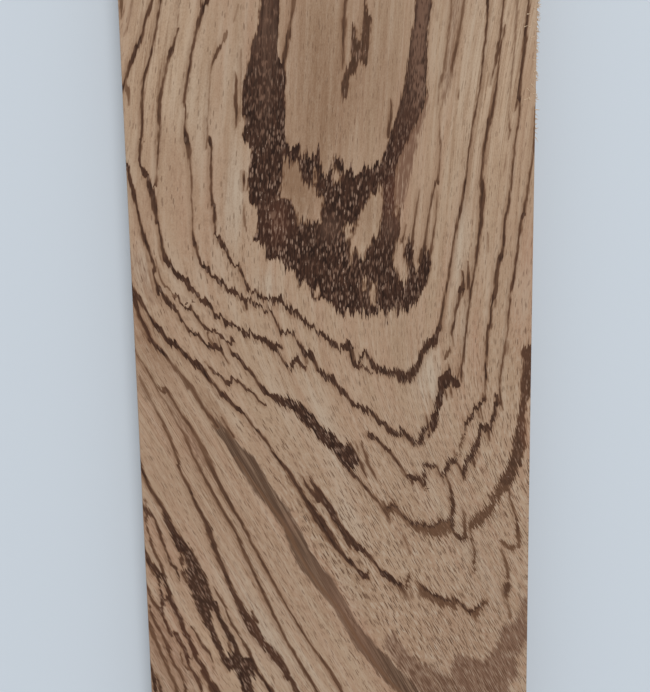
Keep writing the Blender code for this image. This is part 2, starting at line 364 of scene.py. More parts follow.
        (149, 604, 1), (150, 610, 2), (153, 618, 3.5), (156, 624, 4), (160, 631, 4),
        (163, 637, 4), (167, 644, 4.5), (169, 651, 3.5), (171, 658, 3.5), (174, 664, 4),
        (178, 669, 4), (181, 674, 3.5), (184, 682, 3), (186, 694, 3)]),
    "low_left_13": (0.75, [
        (148, 620, 3), (152, 632, 6), (156, 641, 5), (159, 648, 5), (162, 655, 5),
        (165, 662, 5), (168, 669, 5), (171, 676, 6), (175, 684, 5), (178, 694, 5)]),
    "low_left_14": (0.95, [(150, 664, 3), (152, 671, 4), (154, 679, 5), (155, 687, 4),
                           (156, 694, 4)]),
    "low_left_15": (0.9, [(156, 674, 1), (158, 680, 3), (160, 686, 3.5), (162, 694, 3.5)]),
    "low_left_16": (0.7, [(180, 652, 2), (182, 662, 2), (186, 667, 2.5), (191, 669, 3)]),
    "low_left_17": (0.85, [
        (191, 626, 1), (196, 633, 2), (200, 641, 2.5), (204, 647, 3), (208, 651, 3),
        (211, 657, 2), (213, 665, 1.5, 0.4), (214, 673, 1)]),
    "low_left_18": (0.6, [(193, 654, 1), (192, 658, 1.5), (190, 662, 1)]),
    "split_right": (0.95, [
        (214, 602, 6), (215, 606, 6), (218, 614, 5), (222, 622, 5), (226, 630, 6),
        (230, 637, 6), (234, 644, 5), (237, 651, 5.5), (240, 658, 7)]),
    "split_left": (0.95, [
        (207, 620, 9), (209, 625, 8), (213, 632, 5.5), (216, 640, 6), (219, 647, 6),
        (222, 654, 5), (225, 661, 7), (229, 667, 7), (230, 672, 2)]),
    "split_mid": (0.7, [(228, 637, 1), (229, 645, 2), (231, 652, 3)]),
    "low_fork": (0.95, [
        (245, 660, 5), (250, 661, 8), (254, 667, 6), (258, 673, 4), (262, 678, 4),
        (266, 684, 4.5), (272, 694, 4.5)]),
    "hair_1": (0.8, [
        (213, 586, 1), (217, 593, 2), (220, 598, 2.5), (224, 604, 2), (227, 612, 2),
        (229, 618, 2), (232, 624, 3), (236, 630, 2.5), (240, 637, 2), (244, 644, 3),
        (248, 650, 3), (251, 656, 3), (253, 661, 2)]),
    "corner_low": (0.95, [(289, 676, 3), (292, 681, 6), (295, 688, 7), (299, 694, 8)]),
    "corner_low_2": (0.9, [(268, 684, 2), (271, 689, 4), (274, 694, 5)]),
    "fork_inner": (0.95, [
        (302, 476, 1), (305, 483, 3.5), (308, 488, 4), (311, 492, 4.5), (315, 497, 4.5),
        (319, 502, 4)]),
    "fork_outer": (0.97, [
        (309, 476, 1), (312, 482, 4), (316, 488, 6), (320, 494, 7), (324, 500, 8),
        (328, 506, 8.5), (332, 512, 8), (335, 518, 8), (339, 524, 8), (343, 531, 8),
        (348, 537, 8), (353, 543, 7.5), (358, 548, 7), (363, 550, 5.5), (367, 554, 5),
        (371, 558, 5), (375, 563, 4.5), (379, 568, 4), (382, 572, 5.5), (387, 576, 6),
        (391, 579, 6), (396, 583, 6.5), (400, 586, 6), (403, 591, 6, 0.75),
        (407, 596, 5, 0.5), (411, 601, 2, 0.3)]),
    "fork_outer_tip": (0.95, [(344, 536, 4), (348, 543, 5), (352, 550, 1)]),
    "spur_low_1": (0.75, [(408, 573, 1), (408, 579, 3), (405, 588, 3), (405, 593, 2)]),
    "spur_low_2": (0.6, [(409, 584, 1), (411, 590, 2.5), (414, 598, 1)]),
    "tine_1": (0.85, [
        (350, 442, 1), (354, 450, 4), (357, 457, 5), (361, 464, 5), (364, 471, 4.5),
        (367, 478, 1)]),
    "tine_2": (0.93, [
        (340, 456, 5), (344, 463, 5), (348, 468, 5), (352, 473, 4.5), (356, 477, 4.5),
        (360, 481, 4), (364, 486, 4), (368, 490, 4), (371, 494, 3.5, 0.8), (375, 498, 3.5),
        (379, 503, 3), (382, 508, 4), (385, 512, 5), (388, 516, 4), (391, 523, 1)]),
    "tine_3": (0.7, [
        (361, 440, 1), (363, 448, 3), (366, 455, 4), (368, 462, 4.5), (371, 469, 5),
        (374, 475, 4), (378, 482, 1)]),
    "tine_4": (0.6, [(355, 441, 1), (357, 447, 2), (360, 456, 1)]),
    "v_middle": (0.93, [
        (368, 431, 1), (369, 434, 5), (372, 436, 6), (376, 438, 5), (379, 441, 4),
        (383, 446, 4.5), (386, 449, 5), (389, 451, 5.5), (392, 455, 5), (395, 459, 6),
        (398, 463, 4.5), (401, 467, 3), (404, 472, 3), (407, 477, 5), (410, 476, 6),
        (413, 477, 6), (416, 478, 6), (419, 479, 5), (422, 483, 5.5), (424, 488, 2),
        (425, 480, 3), (424, 471, 3), (425, 466, 4), (428, 466, 5), (431, 467, 5),
        (434, 464, 3), (437, 467, 3), (439, 472, 2.5), (442, 477, 3), (445, 473, 4),
        (447, 469, 5), (449, 464, 5.5), (452, 461, 6), (455, 461, 5), (458, 465, 3),
        (461, 470, 4), (463, 474, 5), (465, 470, 5), (466, 465, 5), (468, 460, 6),
        (471, 459, 6), (473, 455, 5), (475, 449, 5), (477, 443, 5), (479, 437, 5),
        (480, 432, 5), (483, 428, 7), (487, 427, 8), (490, 425, 6), (492, 421, 5),
        (494, 415, 4), (495, 409, 4), (497, 403, 6), (497, 398, 6), (495, 393, 2)]),
    "v_middle_tip": (0.9, [(463, 472, 4), (464, 477, 3), (464, 481, 1)]),
    "v_middle_tooth_1": (0.9, [(473, 458, 4), (474, 463, 4), (475, 468, 1)]),
    "v_middle_tooth_2": (0.9, [(488, 430, 5), (489, 436, 4), (490, 442, 1)]),
    "v_middle_tooth_3": (0.85, [(410, 476, 4), (412, 481, 3), (413, 486, 1)]),
    "v_wisp": (0.7, [(454, 449, 1), (456, 456, 1.5), (459, 454, 1.5), (460, 448, 2),
                     (461, 443, 2), (463, 438, 3), (462, 434, 2)]),
    "drop_line": (0.9, [
        (445, 474, 2), (446, 477, 2), (449, 483, 3), (451, 490, 3.5), (452, 498, 4),
        (453, 505, 4.5), (453, 512, 5), (452, 518, 5), (452, 524, 4.5), (453, 531, 4),
        (455, 534, 4), (459, 537, 5), (462, 539, 6), (465, 536, 5, 0.8), (465, 530, 4),
        (464, 523, 3.5, 0.65), (464, 515, 3), (462, 507, 1, 0.4)]),
    "drop_tooth": (0.8, [(441, 474, 1), (443, 480, 2), (445, 485, 1)]),
    "low_v_top": (0.92, [
        (383, 501, 2), (388, 508, 3), (394, 506, 2.5), (401, 513, 3), (408, 520, 3.5),
        (416, 524, 3.5), (425, 525, 4), (434, 526, 3.5), (441, 521, 3), (447, 520, 3),
        (452, 516, 2)]),
    "low_right_v_top": (0.92, [
        (417, 581, 2), (424, 588, 3), (432, 594, 3), (440, 597, 3), (447, 602, 3.5),
        (455, 600, 3), (462, 605, 3.5), (470, 612, 4), (476, 609, 3.5), (481, 606, 3),
        (485, 601, 2)]),
    "right_drop": (0.75, [
        (469, 527, 3), (471, 533, 2.5), (472, 538, 2.5), (473, 545, 2.5), (475, 552, 3),
        (474, 559, 3), (474, 566, 2.5), (474, 574, 1)]),
    "right_low_1": (0.7, [
        (507, 486, 4), (509, 491, 3), (510, 497, 2), (512, 504, 2.5, 0.8), (514, 511, 3),
        (516, 517, 3), (517, 524, 3), (518, 531, 3.5), (519, 538, 4, 0.6), (519, 547, 6)]),
    "right_low_2": (0.65, [
        (500, 540, 2), (504, 543, 4), (507, 546, 4), (511, 549, 4), (515, 549, 5)]),
    "right_low_3": (0.65, [
        (501, 549, 2), (504, 557, 4), (506, 564, 4), (508, 573, 3), (508, 580, 3, 0.8),
        (507, 587, 7), (506, 593, 6), (507, 600, 3, 0.5), (509, 610, 3), (510, 618, 4)]),
    "right_low_4": (0.55, [(501, 588, 1), (503, 596, 2), (505, 602, 1)]),
    "block_9": (0.97, [
        (449, 364, 1), (449, 370, 5), (447, 376, 10), (445, 381, 13), (442, 387, 9),
        (441, 393, 6), (439, 399, 7), (438, 404, 8), (437, 410, 5), (435, 415, 7),
        (434, 421, 8), (433, 427, 6), (433, 434, 1)]),
    "block_9_right": (0.97, [(449, 378, 7), (452, 380, 7), (456, 384, 7), (458, 387, 5)]),
    "block_9_teeth": (0.9, [(444, 388, 3), (446, 394, 3), (447, 400, 1)]),
    "block_9_tooth": (0.9, [(450, 386, 2), (451, 392, 2), (452, 398, 1)]),
    "block_9_left": (0.85, [(426, 414, 1), (427, 420, 2.5), (428, 428, 3)]),
    "right_10": (0.6, [
        (465, -2, 4), (462, 15, 4), (460, 28, 4), (458, 38, 5), (456, 48, 5, 0.8),
        (454, 58, 4.5), (452, 68, 3.5), (450.5, 78, 2, 0.5), (447, 90, 2, 0.35),
        (440, 112, 2, 0.4), (439.5, 125, 1.5), (439.5, 135, 2, 0.65), (440.5, 150, 2),
        (439, 170, 2.5), (437, 181, 3, 0.85), (435, 185, 3), (433, 193, 2.5),
        (431.5, 200, 2.5), (430, 208, 2), (428.5, 218, 2.5), (426, 235, 3), (425, 245, 4.5),
        (422.5, 253, 6, 0.95), (421, 262, 10)]),
    "right_10_b": (0.6, [
        (437.5, 190, 1), (437, 200, 2), (436, 218, 2), (434.5, 228, 3, 0.8), (433, 240, 3.5),
        (431, 250, 4), (429, 258, 5, 0.92), (428, 265, 6), (427, 275, 5), (425, 285, 4)]),
    "right_9": (0.55, [
        (452, -2, 3), (450, 20, 3), (447, 45, 3), (446, 55, 4), (444, 70, 4), (441, 80, 4),
        (439, 90, 2), (438, 106, 1)]),
    "right_8": (0.3, [(438, 9, 1), (437.5, 14, 2), (437, 21, 1)]),
    "pore_dash": (0.6, [(459, 89, 1), (458.5, 94, 1.5), (458, 99, 1)]),
    "mass_tail": (0.85, [
        (420, 189, 1), (418, 200, 2), (416.5, 210, 2), (415, 220, 2.5), (413.5, 230, 3),
        (412, 240, 4), (409, 248, 6), (408, 255, 8), (409, 262, 6), (410, 270, 5)]),
    "mass_tail_2": (0.8, [(406, 224, 1), (404, 235, 2.5), (401, 243, 3)]),
    "right_12": (0.85, [
        (504, -2, 3.5), (503, 10, 3), (501.5, 20, 3), (501, 30, 2.5), (500, 38, 3),
        (498.5, 45, 5), (498, 52, 6), (496.5, 58, 4), (495.5, 65, 2.5), (493.5, 72, 2),
        (492, 78, 1.5), (491, 86, 1)]),
    "right_12_b": (0.93, [
        (505.5, 24, 1), (504, 32, 2), (502, 40, 2.5), (500, 50, 3), (499, 60, 2), (498, 70, 2.5),
        (497, 80, 3.5), (496, 88, 4), (494.5, 98, 5), (492.5, 108, 5.5), (490.5, 118, 5),
        (487.5, 128, 5), (486, 138, 4.5), (484, 150, 4), (483, 160, 4), (482, 168, 3.5),
        (481.5, 175, 3), (482, 183, 6), (482.5, 192, 7.5), (482, 202, 7.5), (481.5, 212, 6.5),
        (481, 222, 5.5), (479.5, 232, 5), (478.5, 242, 4.5), (477, 252, 4.5), (476, 262, 4),
        (474.5, 270, 3.5), (473, 280, 3.5), (471, 288, 3.5), (470, 297, 3.5), (469, 305, 3),
        (468, 313, 2.5), (467, 322, 2.5), (466, 332, 3), (465, 342, 3), (464, 350, 3.5),
        (463, 360, 3), (461.5, 369, 3.5), (461, 376, 4), (462, 383, 1)]),
    "right_12_c": (0.9, [
        (468, 261, 1), (468, 270, 3), (468.5, 278, 5), (469, 287, 4), (470, 294, 3)]),
    "right_12_d": (0.93, [
        (462, 270, 1), (463, 278, 4), (463, 287, 5.5), (460, 292, 5), (459, 298, 5),
        (458, 303, 4), (456, 310, 3), (455, 318, 2.5), (453, 325, 3.5), (452, 332, 4),
        (453, 339, 2, 0.6), (454, 347, 1)]),
    "right_12_e": (0.9, [(464, 285, 3), (463, 292, 3.5), (462, 298, 1)]),
    "right_12_f": (0.8, [(459, 367, 1), (459, 372, 2.5), (458, 380, 2)]),
    "right_12_g": (0.65, [(450, 346, 1), (449, 350, 3), (447, 355, 3), (445, 361, 1)]),
    "right_13": (0.5, [
        (518, -2, 3), (516.5, 10, 2.5), (515.5, 35, 2.5), (514.5, 50, 2), (512, 75, 2, 0.45),
        (510, 100, 1.5, 0.3), (509.5, 125, 2, 0.6), (510, 133, 2), (508, 141, 1)]),
    "right_13_b": (0.35, [(507, 154, 1), (505, 165, 1.5), (503, 176, 1)]),
    "right_13_c": (0.6, [(488, 232, 1), (488, 243, 1.5), (488, 253, 1)]),
    "right_14": (0.93, [
        (529, -2, 3.5, 0.8), (528, 10, 3.5), (527, 20, 4), (526, 30, 4, 0.93), (525, 40, 5),
        (524, 50, 4.5), (522.5, 60, 5), (521.5, 70, 4.5), (520.5, 80, 4.5), (519.5, 88, 5),
        (519, 95, 5), (520, 103, 3), (519.5, 115, 2.5), (518, 125, 2.5), (516, 135, 2.5),
        (514.5, 150, 2.5), (513.5, 160, 2), (512.5, 170, 2.5), (511.5, 180, 3),
        (510.5, 190, 2.5), (509, 200, 3.5), (507.5, 210, 4), (505.5, 218, 3.5),
        (504.5, 225, 4), (504, 235, 4), (503.5, 245, 4), (502, 254, 4), (499, 261, 5),
        (497, 270, 6.5), (496, 280, 6.5), (496, 287, 6), (495, 294, 5.5), (493, 300, 5),
        (491, 306, 4), (491, 312, 3), (491, 318, 4), (490, 324, 4.5), (488, 331, 4),
        (487, 338, 4), (487, 345, 5), (487, 352, 5), (486, 360, 3), (485, 367, 3),
        (486, 374, 4), (485, 382, 2.5), (485, 390, 2), (485, 397, 3), (483, 403, 4),
        (480, 405, 5), (477, 407, 4.5), (475, 411, 3), (473, 415, 4), (470, 417, 5),
        (467, 421, 3.5), (465, 427, 2.5), (464, 435, 1)]),
    "right_14_left": (0.9, [(518, 95, 3), (517, 102, 3), (515, 111, 1)]),
    "right_14_tooth": (0.9, [(495, 298, 3), (495, 303, 2), (495, 308, 1)]),
    "right_14_low": (0.85, [(483, 393, 1), (484, 398, 3), (485, 403, 3)]),
    "right_14_spur": (0.85, [(480, 406, 2), (481, 411, 2), (483, 421, 1)]),
    "right_14_spur_2": (0.8, [(477, 408, 2), (478, 413, 2), (479, 418, 1)]),
    "right_15": (0.85, [
        (535.5, 108, 2), (534, 142, 3), (533, 155, 3), (531.5, 165, 2.5), (530, 175, 3),
        (528.5, 185, 2.5), (527, 195, 3), (525, 203, 4.5), (524, 212, 4, 0.93),
        (521, 220, 4.5), (520, 230, 4.5), (518.5, 240, 3), (517.5, 250, 3), (516.5, 258, 3.5),
        (515, 268, 4), (514, 278, 4), (512, 286, 4), (510, 295, 2.5), (510, 303, 3),
        (509, 312, 2.5), (508, 320, 2.5), (508, 328, 2, 0.75), (507, 335, 2), (506, 341, 3, 0.65),
        (505, 347, 5), (504, 353, 5), (503, 359, 3, 0.85), (502, 367, 3), (501, 374, 3),
        (500, 381, 2.5), (500, 388, 2), (500, 395, 3.5), (501, 401, 3.5), (503, 410, 1)]),
    "right_15_b": (0.5, [(508, 340, 1), (508, 348, 2.5), (507, 356, 1)]),
    "arm_side": (0.9, [
        (294, -2, 7, 0.7), (293, 9, 6, 0.7), (291.5, 18, 3, 0.9), (289.5, 30, 4),
        (287, 40, 6), (286, 50, 7), (284, 60, 6), (283, 70, 5)]),
    "spur_inner": (0.9, [
        (391, 99, 1), (391.5, 105, 3), (391, 115, 4), (389.5, 125, 4), (388, 137, 5)]),
    "centre_1": (0.85, [
        (346.5, -2, 5), (344.5, 10, 4), (344, 20, 5.5), (344, 30, 5.5), (343.5, 40, 4),
        (343.5, 50, 3.5), (343, 60, 3.5), (342.5, 70, 1)]),
    "lower_hair": (0.6, [(401, 529, 1), (404, 538, 2), (407, 545, 2), (411, 554, 1)]),
}

# Dark patches: how dark, how soft the edge is in millimetres, how red, and the outline.
PATCHES = {
    "great_u": (0.98, 0.12, 0.0, [
        (270, -340), (264, -100), (260.5, 0), (259.5, 15), (257, 30), (253, 38), (249, 58),
        (245, 78), (243, 88), (242.5, 108), (244, 115), (243.5, 125), (242, 135), (244, 140),
        (252, 150), (250.5, 165), (249, 180), (249, 197), (251, 203), (258, 212), (258, 225),
        (257.5, 232), (253, 238), (253, 242), (262, 246), (265, 250), (267, 257), (270, 261),
        (278, 260), (283, 263), (286, 269), (291, 269), (294, 272), (297, 279), (299, 286),
        (302, 280), (306, 282), (308, 285), (311, 289), (311, 295), (314, 300), (318, 300),
        (321, 296), (323, 297), (328, 302), (331, 301), (334, 308), (337, 311), (340, 316),
        (343, 319), (345, 318), (346, 311), (349, 310), (352, 315), (356, 311), (360, 315),
        (364, 312), (367, 318), (370, 317), (373, 315), (377, 314), (380, 309), (384, 311),
        (387, 322), (388, 312), (391, 308), (395, 308), (398, 316), (402, 308), (405, 312),
        (408, 315), (410, 308), (413, 305), (417, 303), (418, 297), (421, 296), (424, 292),
        (426, 288), (428, 280), (430, 270), (431, 262), (429, 254), (426, 248), (424, 256),
        (421, 262), (418, 268), (416.5, 273), (414.5, 268), (413, 260), (413.5, 250),
        (412, 243), (409, 240), (406, 245), (402, 243), (399, 238), (400, 225), (400, 212),
        (396, 206), (394, 198), (395, 188),
        (396, 175), (398, 162), (403, 150), (408, 140), (413, 130), (419, 118), (425, 105),
        (427.5, 90), (427, 60), (427.5, 40), (429, 20), (432.5, 0), (436, -120),
        (438, -340), (426, -340), (420, -120), (415.5, 0), (415, 20), (411.5, 30), (409.5, 50),
        (407, 70), (403, 90), (398, 110), (395, 120), (392, 130), (388, 140), (385, 150),
        (383, 155), (382, 160), (380, 163), (376, 163), (374, 167), (372, 171), (369, 170),
        (366, 166), (361, 169), (358, 172), (355, 174), (352, 171), (350, 167), (349, 173),
        (345, 172), (343, 168), (341, 160), (338, 154), (335, 160), (333, 168), (331, 157),
        (330, 168), (325, 175), (322, 170), (320.5, 155), (319.5, 149), (317, 154),
        (311, 155), (308, 156), (306, 147), (305, 154), (302, 157), (300, 155), (300, 143),
        (299, 141), (296, 146), (290, 148), (288, 143), (284.5, 135), (285, 125), (286, 110),
        (284.5, 98), (285.5, 80), (285, 62), (279, 58), (277, 50), (277.5, 40), (279, 20),
        (279.5, 0), (282, -100), (286, -340)]),
    "centre_2": (0.85, 0.15, 0.0, [
        (366, -340), (364, -120), (364, 0), (363.5, 10), (362, 28), (360.5, 38), (357.5, 44),
        (356, 38), (355.5, 28), (354, 23), (351.5, 25), (351, 45), (350.5, 62), (347, 67),
        (343.5, 75), (341.5, 85), (341.5, 95), (342.5, 103), (345, 100), (347.5, 93),
        (349.5, 86), (350.5, 76), (353, 70), (355, 72), (357, 66), (360, 62), (362, 66),
        (363, 72), (364.5, 64), (367, 66), (368.5, 56), (370, 36), (371.5, 17), (368, 15),
        (366.5, 8), (367, 0), (370, -120), (372, -340)]),
    "middle_band": (0.97, 0.14, 0.0, [
        (283, 397), (292, 399), (300, 403), (306, 409), (311, 413), (316, 417), (320, 424),
        (327, 430), (334, 435), (338, 441), (343, 444), (347, 442), (351, 446), (356, 454),
        (360, 462), (357, 466), (352, 468), (348, 470), (343, 466), (340, 460), (336, 454),
        (332, 450), (327, 447), (322, 442), (318, 438), (314, 433), (308, 428), (303, 423),
        (298, 418), (294, 412), (291, 408), (285, 407)]),
    "low_mass": (0.93, 0.14, 0.0, [
        (178, 536), (184, 541), (192, 550), (196, 557), (200, 565), (204, 573), (208, 581),
        (210, 589), (212, 597), (216, 604), (216, 608), (211, 612), (212, 622), (211, 630),
        (208, 628), (202, 621), (198, 613), (195, 606), (193, 598), (190, 590), (187, 583),
        (187, 575), (187, 567), (185, 558), (182, 550), (178, 551), (174, 545)]),
    "low_mass_2": (0.95, 0.14, 0.0, [
        (228, 656), (232, 652), (238, 655), (242, 659), (247, 659), (252, 660), (256, 668),
        (254, 676), (251, 682), (254, 690), (260, 705), (268, 760), (252, 750), (246, 700),
        (243, 692), (240, 684), (237, 676), (234, 670), (231, 667), (229, 670), (225, 665),
        (223, 660)]),
    "right_edge_block": (0.85, 0.25, 0.0, [
        (521, 350), (524, 347), (528, 346), (533, 345), (533, 380), (530, 396), (526, 404),
        (525, 415), (526, 430), (526, 445), (524, 455), (520, 465), (517, 475), (513, 482),
        (508, 489), (503, 489), (500, 486), (500, 481), (504, 474), (507, 467), (509, 458),
        (512, 450), (513, 440), (515, 430), (517, 420), (519, 411), (520, 403), (521, 392),
        (521, 380), (523, 368), (523, 358)]),
    "right_diagonal": (0.72, 0.25, 0.0, [
        (512, 482), (509, 490), (503, 494), (499, 499), (495, 508), (490, 516), (484, 524),
        (477, 528), (470, 530), (468, 524), (471, 519), (475, 515), (481, 511), (484, 506),
        (491, 503), (489, 496), (494, 491), (497, 485), (502, 481)]),
    "low_v": (0.66, 0.55, 0.0, [
        (383, 500), (387, 506), (392, 502), (396, 504), (401, 511), (406, 515), (410, 519),
        (415, 522), (424, 522), (430, 526), (433, 523), (437, 523), (441, 517), (443, 520),
        (447, 518), (450, 514), (453, 520), (453, 532), (446, 534), (440, 537), (432, 538),
        (424, 535), (416, 531), (410, 527), (405, 521), (399, 516), (393, 513), (388, 516),
        (384, 510), (381, 505)]),
    "low_right_v": (0.66, 0.55, 0.0, [
        (417, 580), (421, 584), (426, 588), (431, 592), (436, 594), (441, 596), (446, 600),
        (449, 596), (455, 598), (460, 602), (465, 606), (469, 610), (473, 609), (476, 607),
        (480, 606), (482, 600), (484, 598), (487, 600), (489, 603), (485, 606), (482, 609),
        (480, 614), (477, 621), (474, 618), (469, 613), (464, 609), (458, 606), (455, 610),
        (455, 616), (452, 610), (447, 608), (441, 606), (434, 603), (428, 600), (422, 597),
        (418, 592)]),
}

# Light wood inside the great U, by outline.
CLEARINGS = {
    "island_left": [
        (286, 160), (283, 170), (282, 180), (280.5, 190), (281, 195), (286, 196), (288, 200),
        (291, 203), (294, 208), (296, 214), (297, 220), (299, 226), (301, 220), (306, 226),
        (309, 221), (316, 220), (319, 223), (321, 222), (321, 212), (323, 203), (323, 196),
        (320, 199), (317, 198), (316, 192), (314, 187), (311, 184), (308, 183), (305, 186),
        (303, 182), (302, 175), (299, 165), (298, 160), (296, 165), (293, 161), (290, 166)],
    "island_right": [
        (380, 186), (374, 192), (370, 195), (368, 203), (364, 207), (361, 212), (358, 218),
        (356, 226), (354, 235), (352, 240), (351, 232), (353, 225), (346, 225), (343, 233),
        (347, 237), (350, 242), (350, 250), (351, 262), (353, 256), (356, 248), (358, 252),
        (360, 258), (363, 257), (367, 250), (370, 245), (373, 240), (376, 236), (379, 229),
        (381, 220), (382, 210), (383, 200), (382, 190)],
    "lobe_light": [
        (404, 233), (406, 238), (404, 246), (403.5, 254), (406, 262), (408.5, 268), (408, 276),
        (404, 283), (400, 281), (398, 274), (396, 268), (393.5, 262), (394, 254), (396, 246),
        (398, 240), (401, 236)],
    "drop": [(336, 166), (341, 175), (338, 183), (334, 184), (331, 178)],
    "slit_1": [(315, 171), (317, 172), (317, 183), (314, 182)],
    "slit_2": [(397, 204), (399, 208), (396, 219), (394, 215)],
    "pocket": [(316, 287), (319, 288), (320, 293), (317, 298), (314, 296), (314, 290)],
    "slit_3": [(363, 279), (366, 280), (366, 290), (363, 293)],
    "slit_4": [(372, 282), (376, 284), (375, 305), (371, 306), (370, 292)],
}

# Broad soft bands of brown: how dark, how soft in millimetres, how red, and the outline.
BANDS = {
    "long_band": (0.95, 0.5, 0.0, [
        (214, 420), (219, 421), (224, 428), (231, 434), (237, 442), (244, 448), (250, 454),
        (256, 460), (261, 468), (266, 476), (271, 485), (276, 494), (284, 504), (289, 511),
        (297, 525), (301, 532), (305, 540), (310, 550), (316, 558), (322, 566), (328, 574),
        (334, 582), (340, 592), (345, 601), (353, 616), (358, 624), (363, 630), (373, 642),
        (386, 655), (398, 668), (410, 680), (424, 694), (464, 770), (488, 823), (509, 876),
        (528, 943),
        (534, 990), (522, 990), (508, 943), (487, 876), (464, 823), (438, 770), (397, 692),
        (391, 687), (384, 680), (377, 672), (370, 663), (362, 655), (356, 646), (351, 639),
        (347, 631), (342, 623), (337, 614), (332, 606), (326, 598), (320, 592), (314, 586),
        (308, 578), (302, 570), (298, 563), (292, 551), (289, 544), (283, 530), (275, 517),
        (269, 509), (263, 502), (257, 494), (251, 486), (246, 478), (240, 470), (234, 460),
        (226, 446), (220, 437), (212, 426)]),
    "second_band": (0.78, 1.4, 0.7, [
        (392, 630), (400, 642), (410, 655), (422, 664), (436, 668), (450, 676), (470, 700),
        (498, 752), (520, 806), (545, 870), (545, 960), (512, 860), (488, 806), (462, 752),
        (416, 690), (404, 672), (392, 658), (384, 645)]),
    "low_right": (0.85, 1.2, 0.8, [
        (521, 598), (529, 597), (530, 640), (522, 646), (522, 652), (516, 658), (517, 668),
        (519, 676), (515, 681), (510, 678), (510, 690), (519, 708), (530, 730), (545, 765),
        (545, 850), (520, 806), (500, 764), (480, 728), (462, 700),
        (452, 680), (450, 668), (455, 656), (461, 652), (470, 658), (482, 660), (489, 655),
        (495, 647), (499, 640), (500, 630), (506, 624), (514, 620), (519, 612)]),
    "right_arm": (1.0, 0.8, 1.0, [
        (428, 88), (427.5, 104), (425, 118), (420, 132), (416, 148), (412, 165), (408, 182),
        (405, 196), (402, 207), (398, 209), (393, 198), (394, 178), (397, 158), (403, 144),
        (409, 132), (415, 118), (422, 104)]),
    "web_shade": (0.3, 1.6, 1.0, [
        (149, 600), (160, 615), (172, 640), (186, 662), (196, 692), (222, 745), (250, 805),
        (240, 800), (205, 760), (172, 722), (152, 700), (150, 650)]),
    "rose_left": (0.4, 1.2, 1.0, [
        (180, 426), (192, 428), (206, 450), (214, 466), (208, 472), (196, 456), (186, 440)]),
    "right_leg": (0.4, 0.8, 1.0, [
        (452, -340), (452, 0), (449, 30), (445, 70), (441, 98), (449, 96), (455, 60),
        (462, 20), (466, 0), (468, -340)]),
    "left_brown": (0.4, 0.9, 0.6, [
        (138, 372), (145, 382), (150, 394), (152, 402), (146, 400), (140, 388)]),
    "left_web": (0.4, 0.9, 0.9, [
        (162, 386), (170, 394), (180, 412), (192, 430), (204, 450), (196, 452), (184, 436),
        (174, 416), (166, 402)]),
    "upper_left_shade": (0.25, 1.5, 1.0, [
        (130, 250), (145, 256), (152, 280), (160, 300), (150, 305), (138, 285), (131, 268)]),
}

# The ticks on the light wood grow in towards the lower end, from the first of two slanting lines
# to the second. To the left of the long band they are few. The band's line is given by a point
# and the direction to its right, and the ticks grow in between two distances beside it.
TICKS_SLANT = 0.4
TICKS_FROM = 5.0
TICKS_FULL = 90.0
BAND_TOP = (214, 420)
BAND_NORMAL = (0.794, 0.609)
FEW_TICKS = 0.2
BESIDE_BAND = (-7.0, 3.0)

# Where curls of torn fibre lie on the upper face, by the right edge.
TORN_CURLS = [
    (527, 14), (524, 27), (529, 27), (533, 22), (531, 38), (535, 30), (534, 8), (533, 60),
    (527, 88), (531, 84), (533, 94), (529, 97), (534, 72), (524, 100), (535, 110)]
